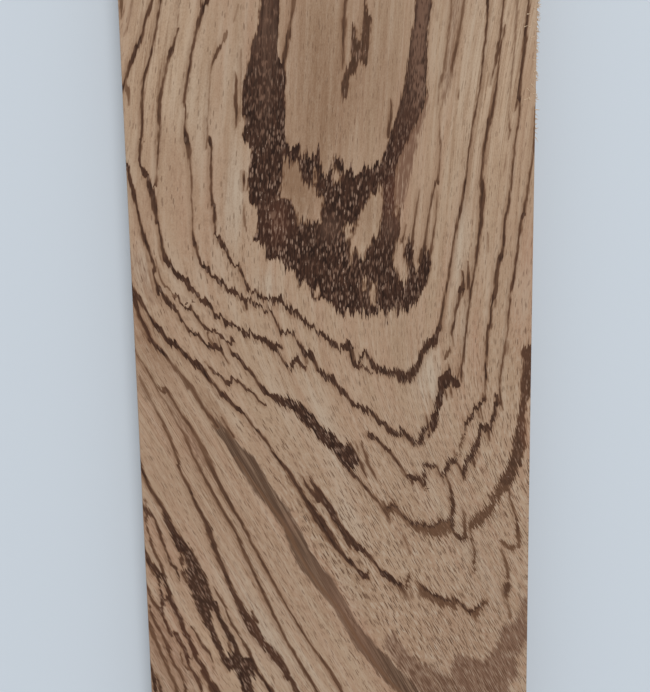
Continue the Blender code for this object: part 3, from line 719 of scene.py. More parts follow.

# Soft local tints, by kind: centre, half-lengths along and across the grain in pixels, amount.
# A brown below zero brightens the wood instead. At the upper end, by both edges, the broad pale
# tints and the brown ones below zero are painted light, standing in for more light falling there.
# They were placed, and their amounts adjusted until the render came close to the photograph.
TINTS = {
    "pale": [
        ((233, 196), 55, 13, 0.8), ((462, 236), 46, 9, 0.7), ((428, 380), 30, 14, 0.9),
        ((266, 286), 16, 9, 0.8), ((330, 436), 60, 12, 0.7), ((285, 398), 50, 10, 0.4),
        ((350, 520), 40, 12, 0.5), ((462, 330), 30, 6, 0.6), ((270, 640), 60, 8, 0.6),
        ((470, 555), 60, 14, 0.4), ((142, 268), 24, 8, 0.5), ((490, 50), 110, 40, 0.55),
        ((165, 50), 80, 34, 0.5), ((200, 120), 70, 16, 0.4), ((262, 625), 70, 30, 0.4),
        ((472, 60), 50, 9, 0.4)],
    "rose": [
        ((140, 270), 30, 10, 0.15), ((405, 175), 60, 12, 0.5), ((140, 330), 26, 8, 0.5),
        ((278, 222), 22, 12, 0.9), ((392, 198), 22, 10, 0.9), ((520, 330), 45, 12, 0.6),
        ((528, 260), 40, 8, 0.8), ((474, 345), 40, 5, 0.6), ((176, 640), 60, 22, 0.8),
        ((188, 440), 26, 10, 0.7), ((150, 530), 40, 8, 0.6), ((526, 440), 40, 6, 0.8),
        ((290, 525), 14, 8, 0.5), ((352, 625), 70, 10, 0.9), ((262, 645), 60, 12, 0.25)],
    "brown": [
        ((318, 70), 100, 34, 0.75), ((382, 60), 90, 26, 0.45), ((330, 600), 90, 30, 0.1),
        ((410, 520), 60, 26, 0.15), ((480, 640), 60, 34, 0.25), ((150, 345), 34, 14, 0.6),
        ((215, 410), 30, 10, 0.45), ((312, 500), 50, 14, 0.3), ((350, 578), 50, 16, 0.3),
        ((500, 60), 130, 44, -0.5), ((160, 55), 90, 40, -0.45), ((218, 648), 34, 12, -0.5),
        ((335, 130), 40, 24, 0.25), ((435, 655), 40, 20, 0.3), ((238, 70), 60, 8, 0.25),
        ((400, 335), 30, 14, 0.2), ((290, 178), 20, 9, 0.8), ((304, 200), 30, 14, 0.55),
        ((370, 215), 30, 14, 0.4)],
    "calm": [
        ((262, 20), 52, 16, 1.0), ((268, 70), 60, 6, 0.5), ((417, 30), 85, 14, 1.0),
        ((330, 228), 12, 12, 0.8), ((391, 226), 12, 10, 0.9)],
    "lively": [
        ((186, 560), 50, 22, 1.0), ((160, 600), 60, 22, 1.0), ((215, 640), 50, 30, 1.0),
        ((250, 650), 40, 24, 0.8), ((262, 638), 60, 10, 0.9), ((325, 510), 40, 14, 0.7)],
    "lined": [
        ((155, 415), 60, 22, 1.0), ((205, 455), 60, 26, 0.9), ((265, 560), 70, 26, 0.6),
        ((495, 110), 120, 40, 1.0), ((150, 60), 90, 30, 0.8), ((225, 520), 110, 30, 0.8),
        ((390, 110), 60, 12, 0.4)],
    "worn": [
        ((277, 222), 20, 10, 0.5), ((262, 95), 34, 7, 0.4), ((388, 196), 26, 7, 0.4),
        ((333, 229), 10, 11, 0.3), ((350, 262), 30, 20, 0.3), ((421, 15), 60, 9, 1.1),
        ((421, 85), 30, 5, 0.7), ((370, 296), 16, 8, 0.5)],
}

def linear(*srgb):
    """Linear RGBA of a colour given as sRGB values from 0 to 255."""
    values = []
    for channel in srgb:
        share = channel / 255
        values.append(share / 12.92 if share <= 0.04045 else ((share + 0.055) / 1.055) ** 2.4)
    return (*values, 1.0)


# Colours as sRGB, chosen after the means and medians of broad regions of the photograph.
WOOD = linear(167, 141, 117)
WOOD_ROSE = linear(163, 130, 107)
WOOD_PALE = linear(176, 157, 137)
WOOD_BROWN = linear(134, 105, 82)
# Brighter wood; towards the upper end, by both edges, it is painted light standing in for more light
# falling there.
WOOD_BRIGHT = linear(187, 158, 130)
PORE = linear(88, 62, 45)
STRIPE = linear(68, 43, 31)
STRIPE_DEEP = linear(28, 13, 8)
STRIPE_RED = linear(80, 47, 34)
STRIPE_EDGE = linear(118, 86, 63)
BAND = linear(103, 80, 63)
BAND_DARK = linear(68, 48, 36)
BAND_RED = linear(121, 90, 72)
FLECK = linear(112, 84, 68)
TICK = linear(144, 116, 98)
# A painted highlight: the colour of tiny glints on the dark wood, where fibres catch the light.
PAINTED_GLINT = linear(178, 154, 136)
TORN = linear(200, 174, 146)
FLOOR = linear(199, 207, 215)


# The camera, and the way from the photograph to the board.

def camera_axes():
    """Right, down and forward of the camera, in the board's axes."""
    right = Vector((1.0, 0.0, 0.0))
    down = Vector((0.0, -math.cos(CAMERA_PITCH), math.sin(CAMERA_PITCH)))
    forward = Vector((0.0, -math.sin(CAMERA_PITCH), -math.cos(CAMERA_PITCH)))
    turned_right = right * math.cos(CAMERA_ROLL) + down * math.sin(CAMERA_ROLL)
    turned_down = down * math.cos(CAMERA_ROLL) - right * math.sin(CAMERA_ROLL)
    return turned_right, turned_down, forward


def camera_place():
    """Where the camera stands, in millimetres from the middle of the upper face."""
    right, down, forward = camera_axes()
    across = (AIM_PIXEL[0] - PHOTO_WIDTH / 2) / FOCAL
    below = (AIM_PIXEL[1] - PHOTO_HEIGHT / 2) / FOCAL
    return -(right * across + down * below + forward) * CAMERA_DISTANCE


def photo_to_board(pixels):
    """Places on the upper face, in millimetres from its middle, of points in photo pixels."""
    right, down, forward = (np.array(axis) for axis in camera_axes())
    start = np.array(camera_place())
    pixels = np.asarray(pixels, float)
    across = (pixels[:, 0:1] - PHOTO_WIDTH / 2) / FOCAL
    below = (pixels[:, 1:2] - PHOTO_HEIGHT / 2) / FOCAL
    rays = forward + across * right + below * down
    reach = -start[2] / rays[:, 2:3]
    return (start + reach * rays)[:, :2]


# The direction of the fibres.

def smooth_step(value, low, high):
    """0 up to low and 1 from high on, smooth between them."""
    share = np.clip((value - low) / (high - low), 0.0, 1.0)
    return share * share * (3.0 - 2.0 * share)


def fibre_direction(places):
    """The fibres' direction on the upper face, towards +Y, as a unit vector for each place.

    They run nearly straight in the upper half, turn towards the lower right below the great U,
    and straighten again past the end of the photograph."""
    x, y = places[:, 0], places[:, 1]
    turn_y = TURN_AT - TURN_SLOPE * x
    turned = smooth_step(-y, -turn_y - TURN_HALF, -turn_y + TURN_HALF)
    straightened = smooth_step(-y, 140.0, 260.0)
    drawn_in = smooth_step(y, 40.0, 130.0) * smooth_step(np.abs(x), 20.0, 60.0)
    lean = np.radians(LEAN + LEAN_DRAWN_IN * drawn_in + LEAN_TURNED * turned
                      + LEAN_STRAIGHTENED * straightened)
    return np.stack([-np.sin(lean), np.cos(lean)], axis=1)


def follow_fibres(places, start_y=240.0, step=5.0, furthest=900.0):
    """For each place, where across the board its fibre starts at the far end."""
    here = places.copy()
    for _ in range(int(furthest / step)):
        left = start_y - here[:, 1]
        if left.max() < TINY:
            break
        heading = fibre_direction(here)
        middle = fibre_direction(here + heading * (step / 2))
        length = np.minimum(step, left / middle[:, 1])
        here = here + middle * length[:, None]
    return here[:, 0]


# Stripes and patches as distances, which the material turns into edges.

def smooth_line(points, steps=3):
    """Points on a smooth curve through the given ones, all columns blended alike."""
    points = np.asarray(points, float)
    if len(points) < 3:
        return points
    padded = np.vstack([2 * points[0] - points[1], points, 2 * points[-1] - points[-2]])
    curve = []
    for a, b, c, d in zip(padded, padded[1:], padded[2:], padded[3:]):
        for number in range(steps):
            t = number / steps
            curve.append(0.5 * (2 * b + (c - a) * t + (2 * a - 5 * b + 4 * c - d) * t ** 2
                                + (3 * b - a - 3 * c + d) * t ** 3))
    curve.append(points[-1])
    return np.array(curve)


def run_on(start, width, sign, draw):
    """Rows that carry a stripe on along the fibres, past the edge of the photograph."""
    x, y, _, dark = start
    place = np.array([(x, y)])
    until_y = FAR_END if sign > 0 else NEAR_END
    drift = 0.0
    rows = []
    while (until_y - place[0, 1]) * sign > 0 and abs(place[0, 0]) < WIDTH / 2 + REACH:
        drift = WANDER_KEPT * drift + draw.uniform(-WANDER, WANDER)
        heading = fibre_direction(place) * sign
        side = np.array([[-heading[0, 1], heading[0, 0]]])
        place = place + (heading + side * drift) * RUN_STEP
        width = width + draw.uniform(-WIDTH_CHANGE, WIDTH_CHANGE)
        width = min(max(width, RUN_WIDTHS[0]), RUN_WIDTHS[1])
        rows.append((place[0, 0], place[0, 1], width / 2, dark))
    return rows


def stripe_lines():
    """Each stripe as rows of place, half width and darkness, in millimetres."""
    draw = random.Random(11)
    lines = []
    for tone, marks in STRIPES.values():
        places = photo_to_board([mark[:2] for mark in marks])
        rows = []
        for place, mark in zip(places, marks):
            tone = mark[3] if len(mark) > 3 else tone
            rows.append((*place, mark[2] * MM_PER_PIXEL / 2, tone))
        rows = smooth_line(rows).tolist()
        for end, sign in ((0, 1), (-1, 1), (-1, -1)):
            pixel_y = marks[end][1]
            if (sign > 0 and pixel_y < 0) or (sign < 0 and pixel_y > PHOTO_HEIGHT):
                x, y, half, dark = rows[end]
                extra = run_on((x, y, half, max(dark, RUN_DARKNESS)), 2 * half, sign, draw)
                rows = extra[::-1] + rows if end == 0 else rows + extra
        lines.append(np.array(rows))
    return lines + further_stripes(draw)


def further_stripes(draw):
    """Stripes beyond the photograph's lower end: some enter from the left edge, some start there."""
    lines = []
    y = -146.0
    while y > -372.0:
        half = draw.uniform(0.45, 1.25)
        start = (-WIDTH / 2 - 5, y, half, 0.92)
        lines.append(np.array([start] + run_on(start, 2 * half, -1, draw)))
        y -= draw.uniform(9.0, 21.0)
    for x in NEW_STRIPES_X:
        start = (x, -150.0 - draw.uniform(0, 25), 0.1, 0.9)
        lines.append(np.array([start] + run_on(start, 1.2, -1, draw)))
    return lines


def share_out(lines):
    """Puts the stripes into sets, so that two in one set stay well apart."""
    sets = [[] for _ in range(STRIPE_SETS)]
    for line in lines:
        gaps = []
        for members in sets:
            gap = 1e9
            for other in members:
                apart = line[:, None, :2] - other[None, :, :2]
                gap = min(gap, np.sqrt((apart ** 2).sum(axis=2)).min() / MM_PER_PIXEL)
            gaps.append(gap)
        clear = [number for number, gap in enumerate(gaps) if gap > SET_GAP]
        sets[clear[0] if clear else int(np.argmax(gaps))].append(line)
    return sets


def stripe_field(lines, places, fibres):
    """The nearest stripe at each place: its signed distance, how that grows along the fibre,
    its plain distance, its half width and its darkness."""
    count = len(places)
    signed = np.full(count, REACH)
    along = np.zeros(count)
    plain = np.full(count, REACH)
    half = np.full(count, -REACH)
    tone = np.zeros(count)
    for line in lines:
        low, high = line[:, :2].min(axis=0) - REACH, line[:, :2].max(axis=0) + REACH
        near = np.flatnonzero(((places > low) & (places < high)).all(axis=1))
        for number in range(len(line) - 1):
            a, b = line[number], line[number + 1]
            low = np.minimum(a[:2], b[:2]) - REACH
            high = np.maximum(a[:2], b[:2]) + REACH
            local = near[((places[near] > low) & (places[near] < high)).all(axis=1)]
            run = b[:2] - a[:2]
            length = math.hypot(*run)
            if length < TINY or not len(local):
                continue
            run = run / length
            offset = places[local] - a[:2]
            ahead = offset @ run
            beside = run[0] * offset[:, 1] - run[1] * offset[:, 0]
            share = np.clip(ahead / length, 0.0, 1.0)
            past = np.abs(ahead - share * length)
            distance = np.hypot(past, beside)
            ends = ((number == 0) & (ahead < 0)) | ((number == len(line) - 2) & (ahead > length))
            value = np.where(ends, beside, np.where(beside < 0, -distance, distance))
            width = a[2] + (b[2] - a[2]) * share - np.where(ends, 1.5 * past, 0.0)
            closer = distance < plain[local]
            chosen = local[closer]
            plain[chosen] = distance[closer]
            signed[chosen] = value[closer]
            half[chosen] = width[closer]
            tone[chosen] = (a[3] + (b[3] - a[3]) * share)[closer]
            along[chosen] = (-run[1] * fibres[chosen, 0] + run[0] * fibres[chosen, 1])
    return signed, along, plain, half, tone


def outline_distance(outline, places, reach):
    """Signed distance to a closed outline, negative inside, cut off at the reach."""
    field = np.full(len(places), reach)
    low, high = outline.min(axis=0) - reach, outline.max(axis=0) + reach
    near = np.flatnonzero(((places > low) & (places < high)).all(axis=1))
    spots = places[near]
    best = np.full(len(near), reach)
    inside = np.zeros(len(near), bool)
    for a, b in zip(outline, np.roll(outline, -1, axis=0)):
        run = b - a
        offset = spots - a
        share = np.clip(offset @ run / max(run @ run, 1e-9), 0.0, 1.0)
        best = np.minimum(best, np.hypot(*(offset - share[:, None] * run).T))
        crosses = (a[1] > spots[:, 1]) != (b[1] > spots[:, 1])
        rise = b[1] - a[1] if abs(b[1] - a[1]) > 1e-9 else 1e-9
        inside ^= crosses & (spots[:, 0] < a[0] + run[0] * (spots[:, 1] - a[1]) / rise)
    field[near] = np.where(inside, -best, best)
    return field


def patch_distance(shapes, places, reach):
    """The nearest outline's signed distance, softness, darkness and redness."""
    nearest = np.full(len(places), reach)
    soft = np.full(len(places), 0.15)
    tone = np.zeros(len(places))
    red = np.zeros(len(places))
    for dark, softness, redness, outline in shapes:
        field = outline_distance(outline, places, reach)
        closer = field < nearest
        nearest[closer] = field[closer]
        soft[closer] = softness
        tone[closer] = dark
        red[closer] = redness
    return nearest, soft, tone, red


def tint_field(kind, places, fibres):
    """How strong one kind of tint is at each place."""
    total = np.zeros(len(places))
    for centre, along, across, amount in TINTS[kind]:
        middle = photo_to_board([centre])[0]
        offset = places - middle
        ahead = (offset * fibres).sum(axis=1) / (along * MM_PER_PIXEL)
        beside = (offset[:, 0] * fibres[:, 1] - offset[:, 1] * fibres[:, 0])
        beside = beside / (across * MM_PER_PIXEL)
        total += amount * np.exp(-(ahead ** 2 + beside ** 2))
    return total


# The board's mesh.

def edge_inset(y):
    """How far the sawn edge lies inside the board's width."""
    share = y / (LENGTH / 2)
    return EDGE_HOLLOW * (1.0 - share * share)


def row_stations():
    """Places along the board, close together where the figure was read from the photograph."""
    stations = []
    y = 0.0
    step = FINE_ROW
    while y < LENGTH / 2 - ARRIS - 0.6 * step:
        stations.append(y)
        if y > SEEN_HALF:
            step = min(step * ROW_GROWTH, COARSE_ROW)
        y += step
    stations.append(LENGTH / 2 - ARRIS)
    return [-y for y in reversed(stations[1:])] + stations


def section(y, inset):
    """One closed cross-section: upper face, right edge, underside and left edge."""
    left = -WIDTH / 2 + inset
    right = WIDTH / 2 - edge_inset(y) - inset
    top = THICKNESS - inset
    bottom = inset
    corner = CORNER_INSET
    points = []
    for x in np.linspace(left + ARRIS, right - ARRIS, FINE_COLUMNS + 1):
        points.append((x, y, top))
    points.append((right - corner, y, top - corner))
    for z in np.linspace(top - ARRIS, bottom + ARRIS, SIDE_STEPS + 1):
        points.append((right, y, z))
    points.append((right - corner, y, bottom + corner))
    for x in np.linspace(right - ARRIS, left + ARRIS, FINE_COLUMNS // COARSE_STEP + 1):
        points.append((x, y, bottom))
    points.append((left + corner, y, bottom + corner))
    for z in np.linspace(bottom + ARRIS, top - ARRIS, SIDE_STEPS + 1):
        points.append((left, y, z))
    points.append((left + corner, y, top - corner))
    return points


def board_mesh():
    """Vertices in millimetres and faces of the whole board, without the torn fibres."""
    end = LENGTH / 2
    corner = CORNER_INSET
    stations = [(-end, ARRIS), (-end + corner, corner)]
    stations.extend((y, 0.0) for y in row_stations())
    stations.extend([(end - corner, corner), (end, ARRIS)])
    rings = [section(y, inset) for y, inset in stations]
    count = len(rings[0])
    vertices = [point for ring in rings for point in ring]
    faces = []
    leaning = []
    for start in (FINE_COLUMNS + 2, count - 2 - SIDE_STEPS):
        leaning.extend(range(start, start + SIDE_STEPS))
    last = len(rings) - 3
    for row in range(len(rings) - 1):
        first, second = row * count, (row + 1) * count
        for number in range(count):
            if number in leaning and 2 <= row < last:
                continue
            after = (number + 1) % count
            faces.append((first + number, first + after, second + after, second + number))
    for number in leaning:
        one = [row * count + number for row in range(2, last + 1)]
        lean_strip(vertices, faces, one, [vertex + 1 for vertex in one])
    add_end(vertices, faces, rings[0], 0, False)
    add_end(vertices, faces, rings[-1], (len(rings) - 1) * count, True)
    return np.array(vertices), faces


def lean_strip(vertices, faces, one, other):
    """Triangles between two rows on a side of the board, leaning as the wood's layers do."""
    def layer(vertex):
        _, y, z = vertices[vertex]
        return y - LAYER_SLOPE * (THICKNESS - z)

    here, there = 0, 0
    while here < len(one) - 1 or there < len(other) - 1:
        if there == len(other) - 1:
            forward = True
        elif here == len(one) - 1:
            forward = False
        else:
            forward = layer(one[here + 1]) < layer(other[there + 1])
        if forward:
            faces.append((one[here], other[there], one[here + 1]))
            here += 1
        else:
            faces.append((one[here], other[there], other[there + 1]))
            there += 1


def add_end(vertices, faces, ring, first, far):
    """Closes one end with a coarse grid that meets every point of the section."""
    columns = FINE_COLUMNS // COARSE_STEP
    right_side = FINE_COLUMNS + 2
    bottom = right_side + SIDE_STEPS + 2
    left_side = bottom + columns + 2
    inner = {}
    for level in range(SIDE_STEPS + 1):
        for column in range(1, columns):
            x = ring[column * COARSE_STEP][0]
            inner[level, column] = len(vertices)
            vertices.append((x, ring[0][1], ring[right_side + level][2]))
        inner[level, 0] = first + left_side + SIDE_STEPS - level
        inner[level, columns] = first + right_side + level
    cells = []
    for column in range(columns):
        top = [first + column * COARSE_STEP + n for n in range(COARSE_STEP + 1)]
        if column == 0:
            top.insert(0, first + len(ring) - 1)
        if column == columns - 1:
            top.append(first + right_side - 1)
        cells.append([inner[0, column]] + top + [inner[0, column + 1]])
        for level in range(SIDE_STEPS):
            cells.append([inner[level + 1, column], inner[level, column],
                          inner[level, column + 1], inner[level + 1, column + 1]])
        low = [first + bottom + columns - column, first + bottom + columns - column - 1]
        if column == 0:
            low.insert(0, first + left_side - 1)
        if column == columns - 1:
            low.append(first + bottom - 1)
        cells.append([inner[SIDE_STEPS, column], inner[SIDE_STEPS, column + 1]] + low[::-1])
    faces.extend(tuple(cell) if far else tuple(cell[::-1]) for cell in cells)


def torn_fibres():
    """Fine splinters on the sawn edge and curls that lie on the face beside it."""
    draw = random.Random(5)
    vertices = []
    faces = []
    for _ in range(SIDE_HAIRS):
        y = TORN_FROM + TORN_LENGTH * draw.random() ** TORN_GATHERING
        root = Vector((WIDTH / 2 - edge_inset(y) - 0.15, y, THICKNESS - draw.uniform(0.1, 1.6)))
        lean = math.radians(draw.uniform(15, 75))
        heading = Vector((math.sin(lean), -math.cos(lean), draw.uniform(-0.1, 0.15)))
        length = draw.uniform(*SIDE_HAIR_LENGTHS)
        add_hair(vertices, faces, draw, root, heading, length, SIDE_HAIR_RADIUS, SIDE_HAIR_BEND)
    for pixel in TORN_CURLS:
        x, y = photo_to_board([pixel])[0]
        root = Vector((x, y, THICKNESS + 0.05))
        heading = Vector((draw.uniform(0.2, 1.4), draw.uniform(-0.8, 0.8), 0.05))
        length = draw.uniform(*CURL_LENGTHS)
        add_hair(vertices, faces, draw, root, heading, length, CURL_RADIUS, CURL_BEND)
    return np.array(vertices), faces


def add_hair(vertices, faces, draw, root, heading, length, radius, most_bend):
    """One tapered hair with four sides, bent a little at every step."""
    corners = range(HAIR_CORNERS)
    first = len(vertices)
    place = root.copy()
    heading = heading.normalized()
    for number in range(HAIR_STEPS + 1):
        side = heading.cross(Vector((0.0, 0.0, 1.0))).normalized()
        over = side.cross(heading).normalized()
        thin = radius * (1.0 - HAIR_TAPER * number / HAIR_STEPS)
        for corner in corners:
            turn = math.pi / 2 * corner
            offset = side * math.cos(turn) + over * math.sin(turn)
            spot = place + offset * thin
            spot.x = min(spot.x, WIDTH / 2 + HAIR_OFF_EDGE)
            spot.z = min(spot.z, THICKNESS + HAIR_OFF_FACE)
            vertices.append(tuple(spot))
        if number:
            far = len(vertices) - HAIR_CORNERS
            near = far - HAIR_CORNERS
            for corner in corners:
                after = (corner + 1) % HAIR_CORNERS
                faces.append((near + corner, near + after, far + after, far + corner))
        turn_x = draw.uniform(-most_bend, most_bend)
        turn_y = draw.uniform(-most_bend, most_bend)
        bend = Vector((turn_x, turn_y, -0.02))
        heading = (heading + bend).normalized()
        place = place + heading * (length / HAIR_STEPS)
    faces.append(tuple(far + corner for corner in corners))
    faces.append(tuple(first + corner for corner in reversed(corners)))


def set_vectors(mesh, name, *columns):
    """Stores up to three numbers under a name at each vertex, and 0 where a column ends early."""
    values = np.zeros((len(mesh.vertices), 3), np.float32)
    for number, column in enumerate(columns):
        values[:len(column), number] = column
    attribute = mesh.attributes.new(name, "FLOAT_VECTOR", "POINT")
    attribute.data.foreach_set("vector", values.ravel())


def make_board(material):
    """The whole board with its torn fibres, as one object."""
    vertices, faces = board_mesh()
    solid_count = len(vertices)
    hair_vertices, hair_faces = torn_fibres()
    faces = faces + [tuple(solid_count + n for n in face) for face in hair_faces]
    vertices = np.vstack([vertices, hair_vertices])
    mesh = bpy.data.meshes.new("board_wood")
    mesh.from_pydata((vertices / 1000).tolist(), [], faces)
    mesh.update()
    board = bpy.data.objects.new("board_wood", mesh)
    bpy.context.scene.collection.objects.link(board)
    mesh.materials.append(material)
    mesh.shade_smooth()
    mesh.set_sharp_from_angle(angle=SHARP_ANGLE)
    paint_figure(mesh, vertices, solid_count)
    return board


def paint_figure(mesh, vertices, solid_count):
    """Stores the figure at every vertex, for the material to read."""
    solid = vertices[:solid_count]
    depth = THICKNESS - vertices[:, 2]
    places = np.stack([solid[:, 0], solid[:, 1] - LAYER_SLOPE * depth[:solid_count]], axis=1)
    fibres = fibre_direction(places)
    across = follow_fibres(places)
    hair = vertices[solid_count:]
    set_vectors(mesh, "fibre", np.concatenate([across, hair[:, 0]]), vertices[:, 1], depth)
    for number, lines in enumerate(share_out(stripe_lines())):
        signed, along, plain, half, tone = stripe_field(lines, places, fibres)
        set_vectors(mesh, f"stripe_{number}", signed, along, plain)
        set_vectors(mesh, f"width_{number}", half, tone)
    ahead = places + fibres * AHEAD
    behind = places - fibres * AHEAD
    holes = [photo_to_board(outline) for outline in CLEARINGS.values()]
    for name, table in (("patch", PATCHES), ("band", BANDS)):
        shapes = [(*numbers, photo_to_board(outline)) for *numbers, outline in table.values()]
        fields = []
        for spots in (places, ahead, behind):
            nearest, soft, tone, red = patch_distance(shapes, spots, REACH)
            if name == "patch":
                inside = -np.min([outline_distance(hole, spots, REACH) for hole in holes], axis=0)
                soft = np.where(inside > nearest - 0.3, HOLE_SOFTNESS, soft)
                nearest = np.maximum(nearest, inside)
            fields.append((nearest, soft, tone, red))
        slope = (fields[1][0] - fields[2][0]) / (2 * AHEAD)
        nearest, soft, tone, red = fields[0]
        set_vectors(mesh, name, np.append(nearest, np.full(len(hair), REACH)), slope, soft)
        set_vectors(mesh, name + "_tone", tone, red)
    for name, kinds in (("tint", ("pale", "rose", "brown")), ("mark", ("calm", "lively", "lined"))):
        set_vectors(mesh, name, *[tint_field(kind, places, fibres) for kind in kinds])
    hatch = smooth_step(places[:, 0] * TICKS_SLANT - places[:, 1], TICKS_FROM, TICKS_FULL)
    past_band = (places - photo_to_board([BAND_TOP])[0]) @ np.array(BAND_NORMAL)
    hatch = hatch * (FEW_TICKS + (1.0 - FEW_TICKS) * smooth_step(past_band, *BESIDE_BAND))
    torn = np.append(np.zeros(len(places)), np.ones(len(hair)))
    set_vectors(mesh, "hatch", hatch, tint_field("worn", places, fibres), torn)


# The material, built node by node.

# Noise that follows the fibres: its size across and along them in millimetres, its detail, its
# seed and its roughness.
GRAINS = {
    "teeth": (0.7, 9.0, 1.0, 3.0, 0.5),
    "steps": (1.9, 16.0, 1.0, 9.0, 0.5),
    "waves": (1.4, 4.0, 1.0, 21.0, 0.5),
    "swells": (1.0, 6.0, 1.0, 33.0, 0.5),
    "tufts": (0.55, 3.4, 1.0, 83.0, 0.5),
    "fleck": (0.8, 3.0, 1.0, 53.0, 0.5),
    "streak": (0.75, 26.0, 3.0, 47.0, 0.6),
    "clump": (3.4, 8.0, 1.0, 67.0, 0.5),
    "bold": (0.58, 3.6, 1.0, 89.0, 0.5),
    "fine": (0.4, 34.0, 2.0, 101.0, 0.5),
    "speck": (0.3, 0.8, 1.0, 71.0, 0.5),
    "ridge": (1.3, 80.0, 1.0, 113.0, 0.5),
    "broad": (6.0, 60.0, 1.0, 61.0, 0.5),
    "drift": (2.4, 40.0, 2.0, 77.0, 0.5),
}


class Nodes:
    """Adds nodes to a material and links what each of them takes."""

    def __init__(self, material):
        material.use_nodes = True
        self.tree = material.node_tree
        self.tree.nodes.clear()

    def add(self, kind, **settings):
        node = self.tree.nodes.new(kind)
        for name, value in settings.items():
            setattr(node, name, value)
        return node

    def feed(self, socket, value):
        if isinstance(value, bpy.types.NodeSocket):
            self.tree.links.new(value, socket)
        else:
            socket.default_value = value

    def math(self, operation, *values, clamp=False):
        node = self.add("ShaderNodeMath", operation=operation, use_clamp=clamp)
        for socket, value in zip(node.inputs, values):
            self.feed(socket, value)
        return node.outputs[0]

    def plus(self, *values):
        total = values[0]
        for value in values[1:]:
            total = self.math("ADD", total, value)
        return total

    def times(self, *values):
        total = values[0]
        for value in values[1:]:
            total = self.math("MULTIPLY", total, value)
        return total

    def step(self, value, start, end):
        """0 at start and 1 at end, smooth between them. Start may be above end."""
        node = self.add("ShaderNodeMapRange", interpolation_type="SMOOTHSTEP")
        for name, given in (("Value", value), ("From Min", start), ("From Max", end)):
            self.feed(node.inputs[name], given)
        return node.outputs[0]

    def mix(self, share, first, second):
        node = self.add("ShaderNodeMix", data_type="RGBA", clamp_factor=True)
        self.feed(node.inputs[0], share)
        self.feed(node.inputs[6], first)
        self.feed(node.inputs[7], second)
        return node.outputs[2]

    def mix_numbers(self, share, first, second):
        node = self.add("ShaderNodeMix", data_type="FLOAT", clamp_factor=True)
        self.feed(node.inputs[0], share)
        self.feed(node.inputs[2], first)
        self.feed(node.inputs[3], second)
        return node.outputs[0]

    def attribute(self, name):
        """The three numbers stored under a name at each vertex."""
        source = self.add("ShaderNodeAttribute", attribute_name=name)
        split = self.add("ShaderNodeSeparateXYZ")
        self.tree.links.new(source.outputs["Vector"], split.inputs[0])
        return split.outputs

    def scaled(self, value, factor, offset):
        """A value times a factor, plus an offset."""
        return self.math("MULTIPLY_ADD", value, factor, offset)

    def rest(self, share):
        """What a share leaves of 1."""
        return self.math("SUBTRACT", 1.0, share)

    def magnitude(self, value):
        """A value without its sign."""
        return self.math("ABSOLUTE", value)

    def greatest(self, first, second):
        """The greater of two values."""
        return self.math("MAXIMUM", first, second)


class Wood(Nodes):
    """The nodes of the wood, with the numbers stored at the vertices and the noise."""

    def __init__(self, material):
        super().__init__(material)
        self.fibre = self.attribute("fibre")
        self.hatch, self.worn, self.torn = self.attribute("hatch")
        self.pale, self.rose, self.brown = self.attribute("tint")
        self.still, self.lively, self.lined = self.attribute("mark")
        self.noise = {name: self.grain(*numbers) for name, numbers in GRAINS.items()}
        self.jitter = self.plus(self.times(self.noise["teeth"], 1.6), self.noise["steps"])
        self.wobble = self.times(self.noise["waves"], 0.14)
        self.swell = self.scaled(self.noise["swells"], 0.25, 0.95)
        self.upper = self.step(self.fibre[1], 10.0, 70.0)

    def spot(self, across, along, seed):
        """A place in the wood, in cells of the given size in millimetres."""
        place = self.add("ShaderNodeCombineXYZ")
        self.feed(place.inputs[0], self.scaled(self.fibre[0], 1 / across, seed))
        self.feed(place.inputs[1], self.scaled(self.fibre[1], 1 / along, seed * 1.7))
        self.feed(place.inputs[2], self.times(self.fibre[2], 1 / across))
        return place.outputs[0]

    def grain(self, across, along, detail, seed, rough):
        """Noise about zero, stretched along the fibres."""
        noise = self.add("ShaderNodeTexNoise", noise_dimensions="3D")
        self.feed(noise.inputs["Vector"], self.spot(across, along, seed))
        noise.inputs["Scale"].default_value = 1.0
        noise.inputs["Detail"].default_value = detail
        noise.inputs["Roughness"].default_value = rough
        return self.scaled(noise.outputs["Fac"], 4.0, -2.0)

    def dashes(self, across, along, size, seed, core=0.5):
        """Short separate dashes along the fibres, each 1 over the core of its size."""
        cells = self.add("ShaderNodeTexVoronoi", voronoi_dimensions="3D", feature="F1")
        self.feed(cells.inputs["Vector"], self.spot(across, along, seed))
        cells.inputs["Scale"].default_value = 1.0
        return self.step(cells.outputs["Distance"], size, self.times(size, core))


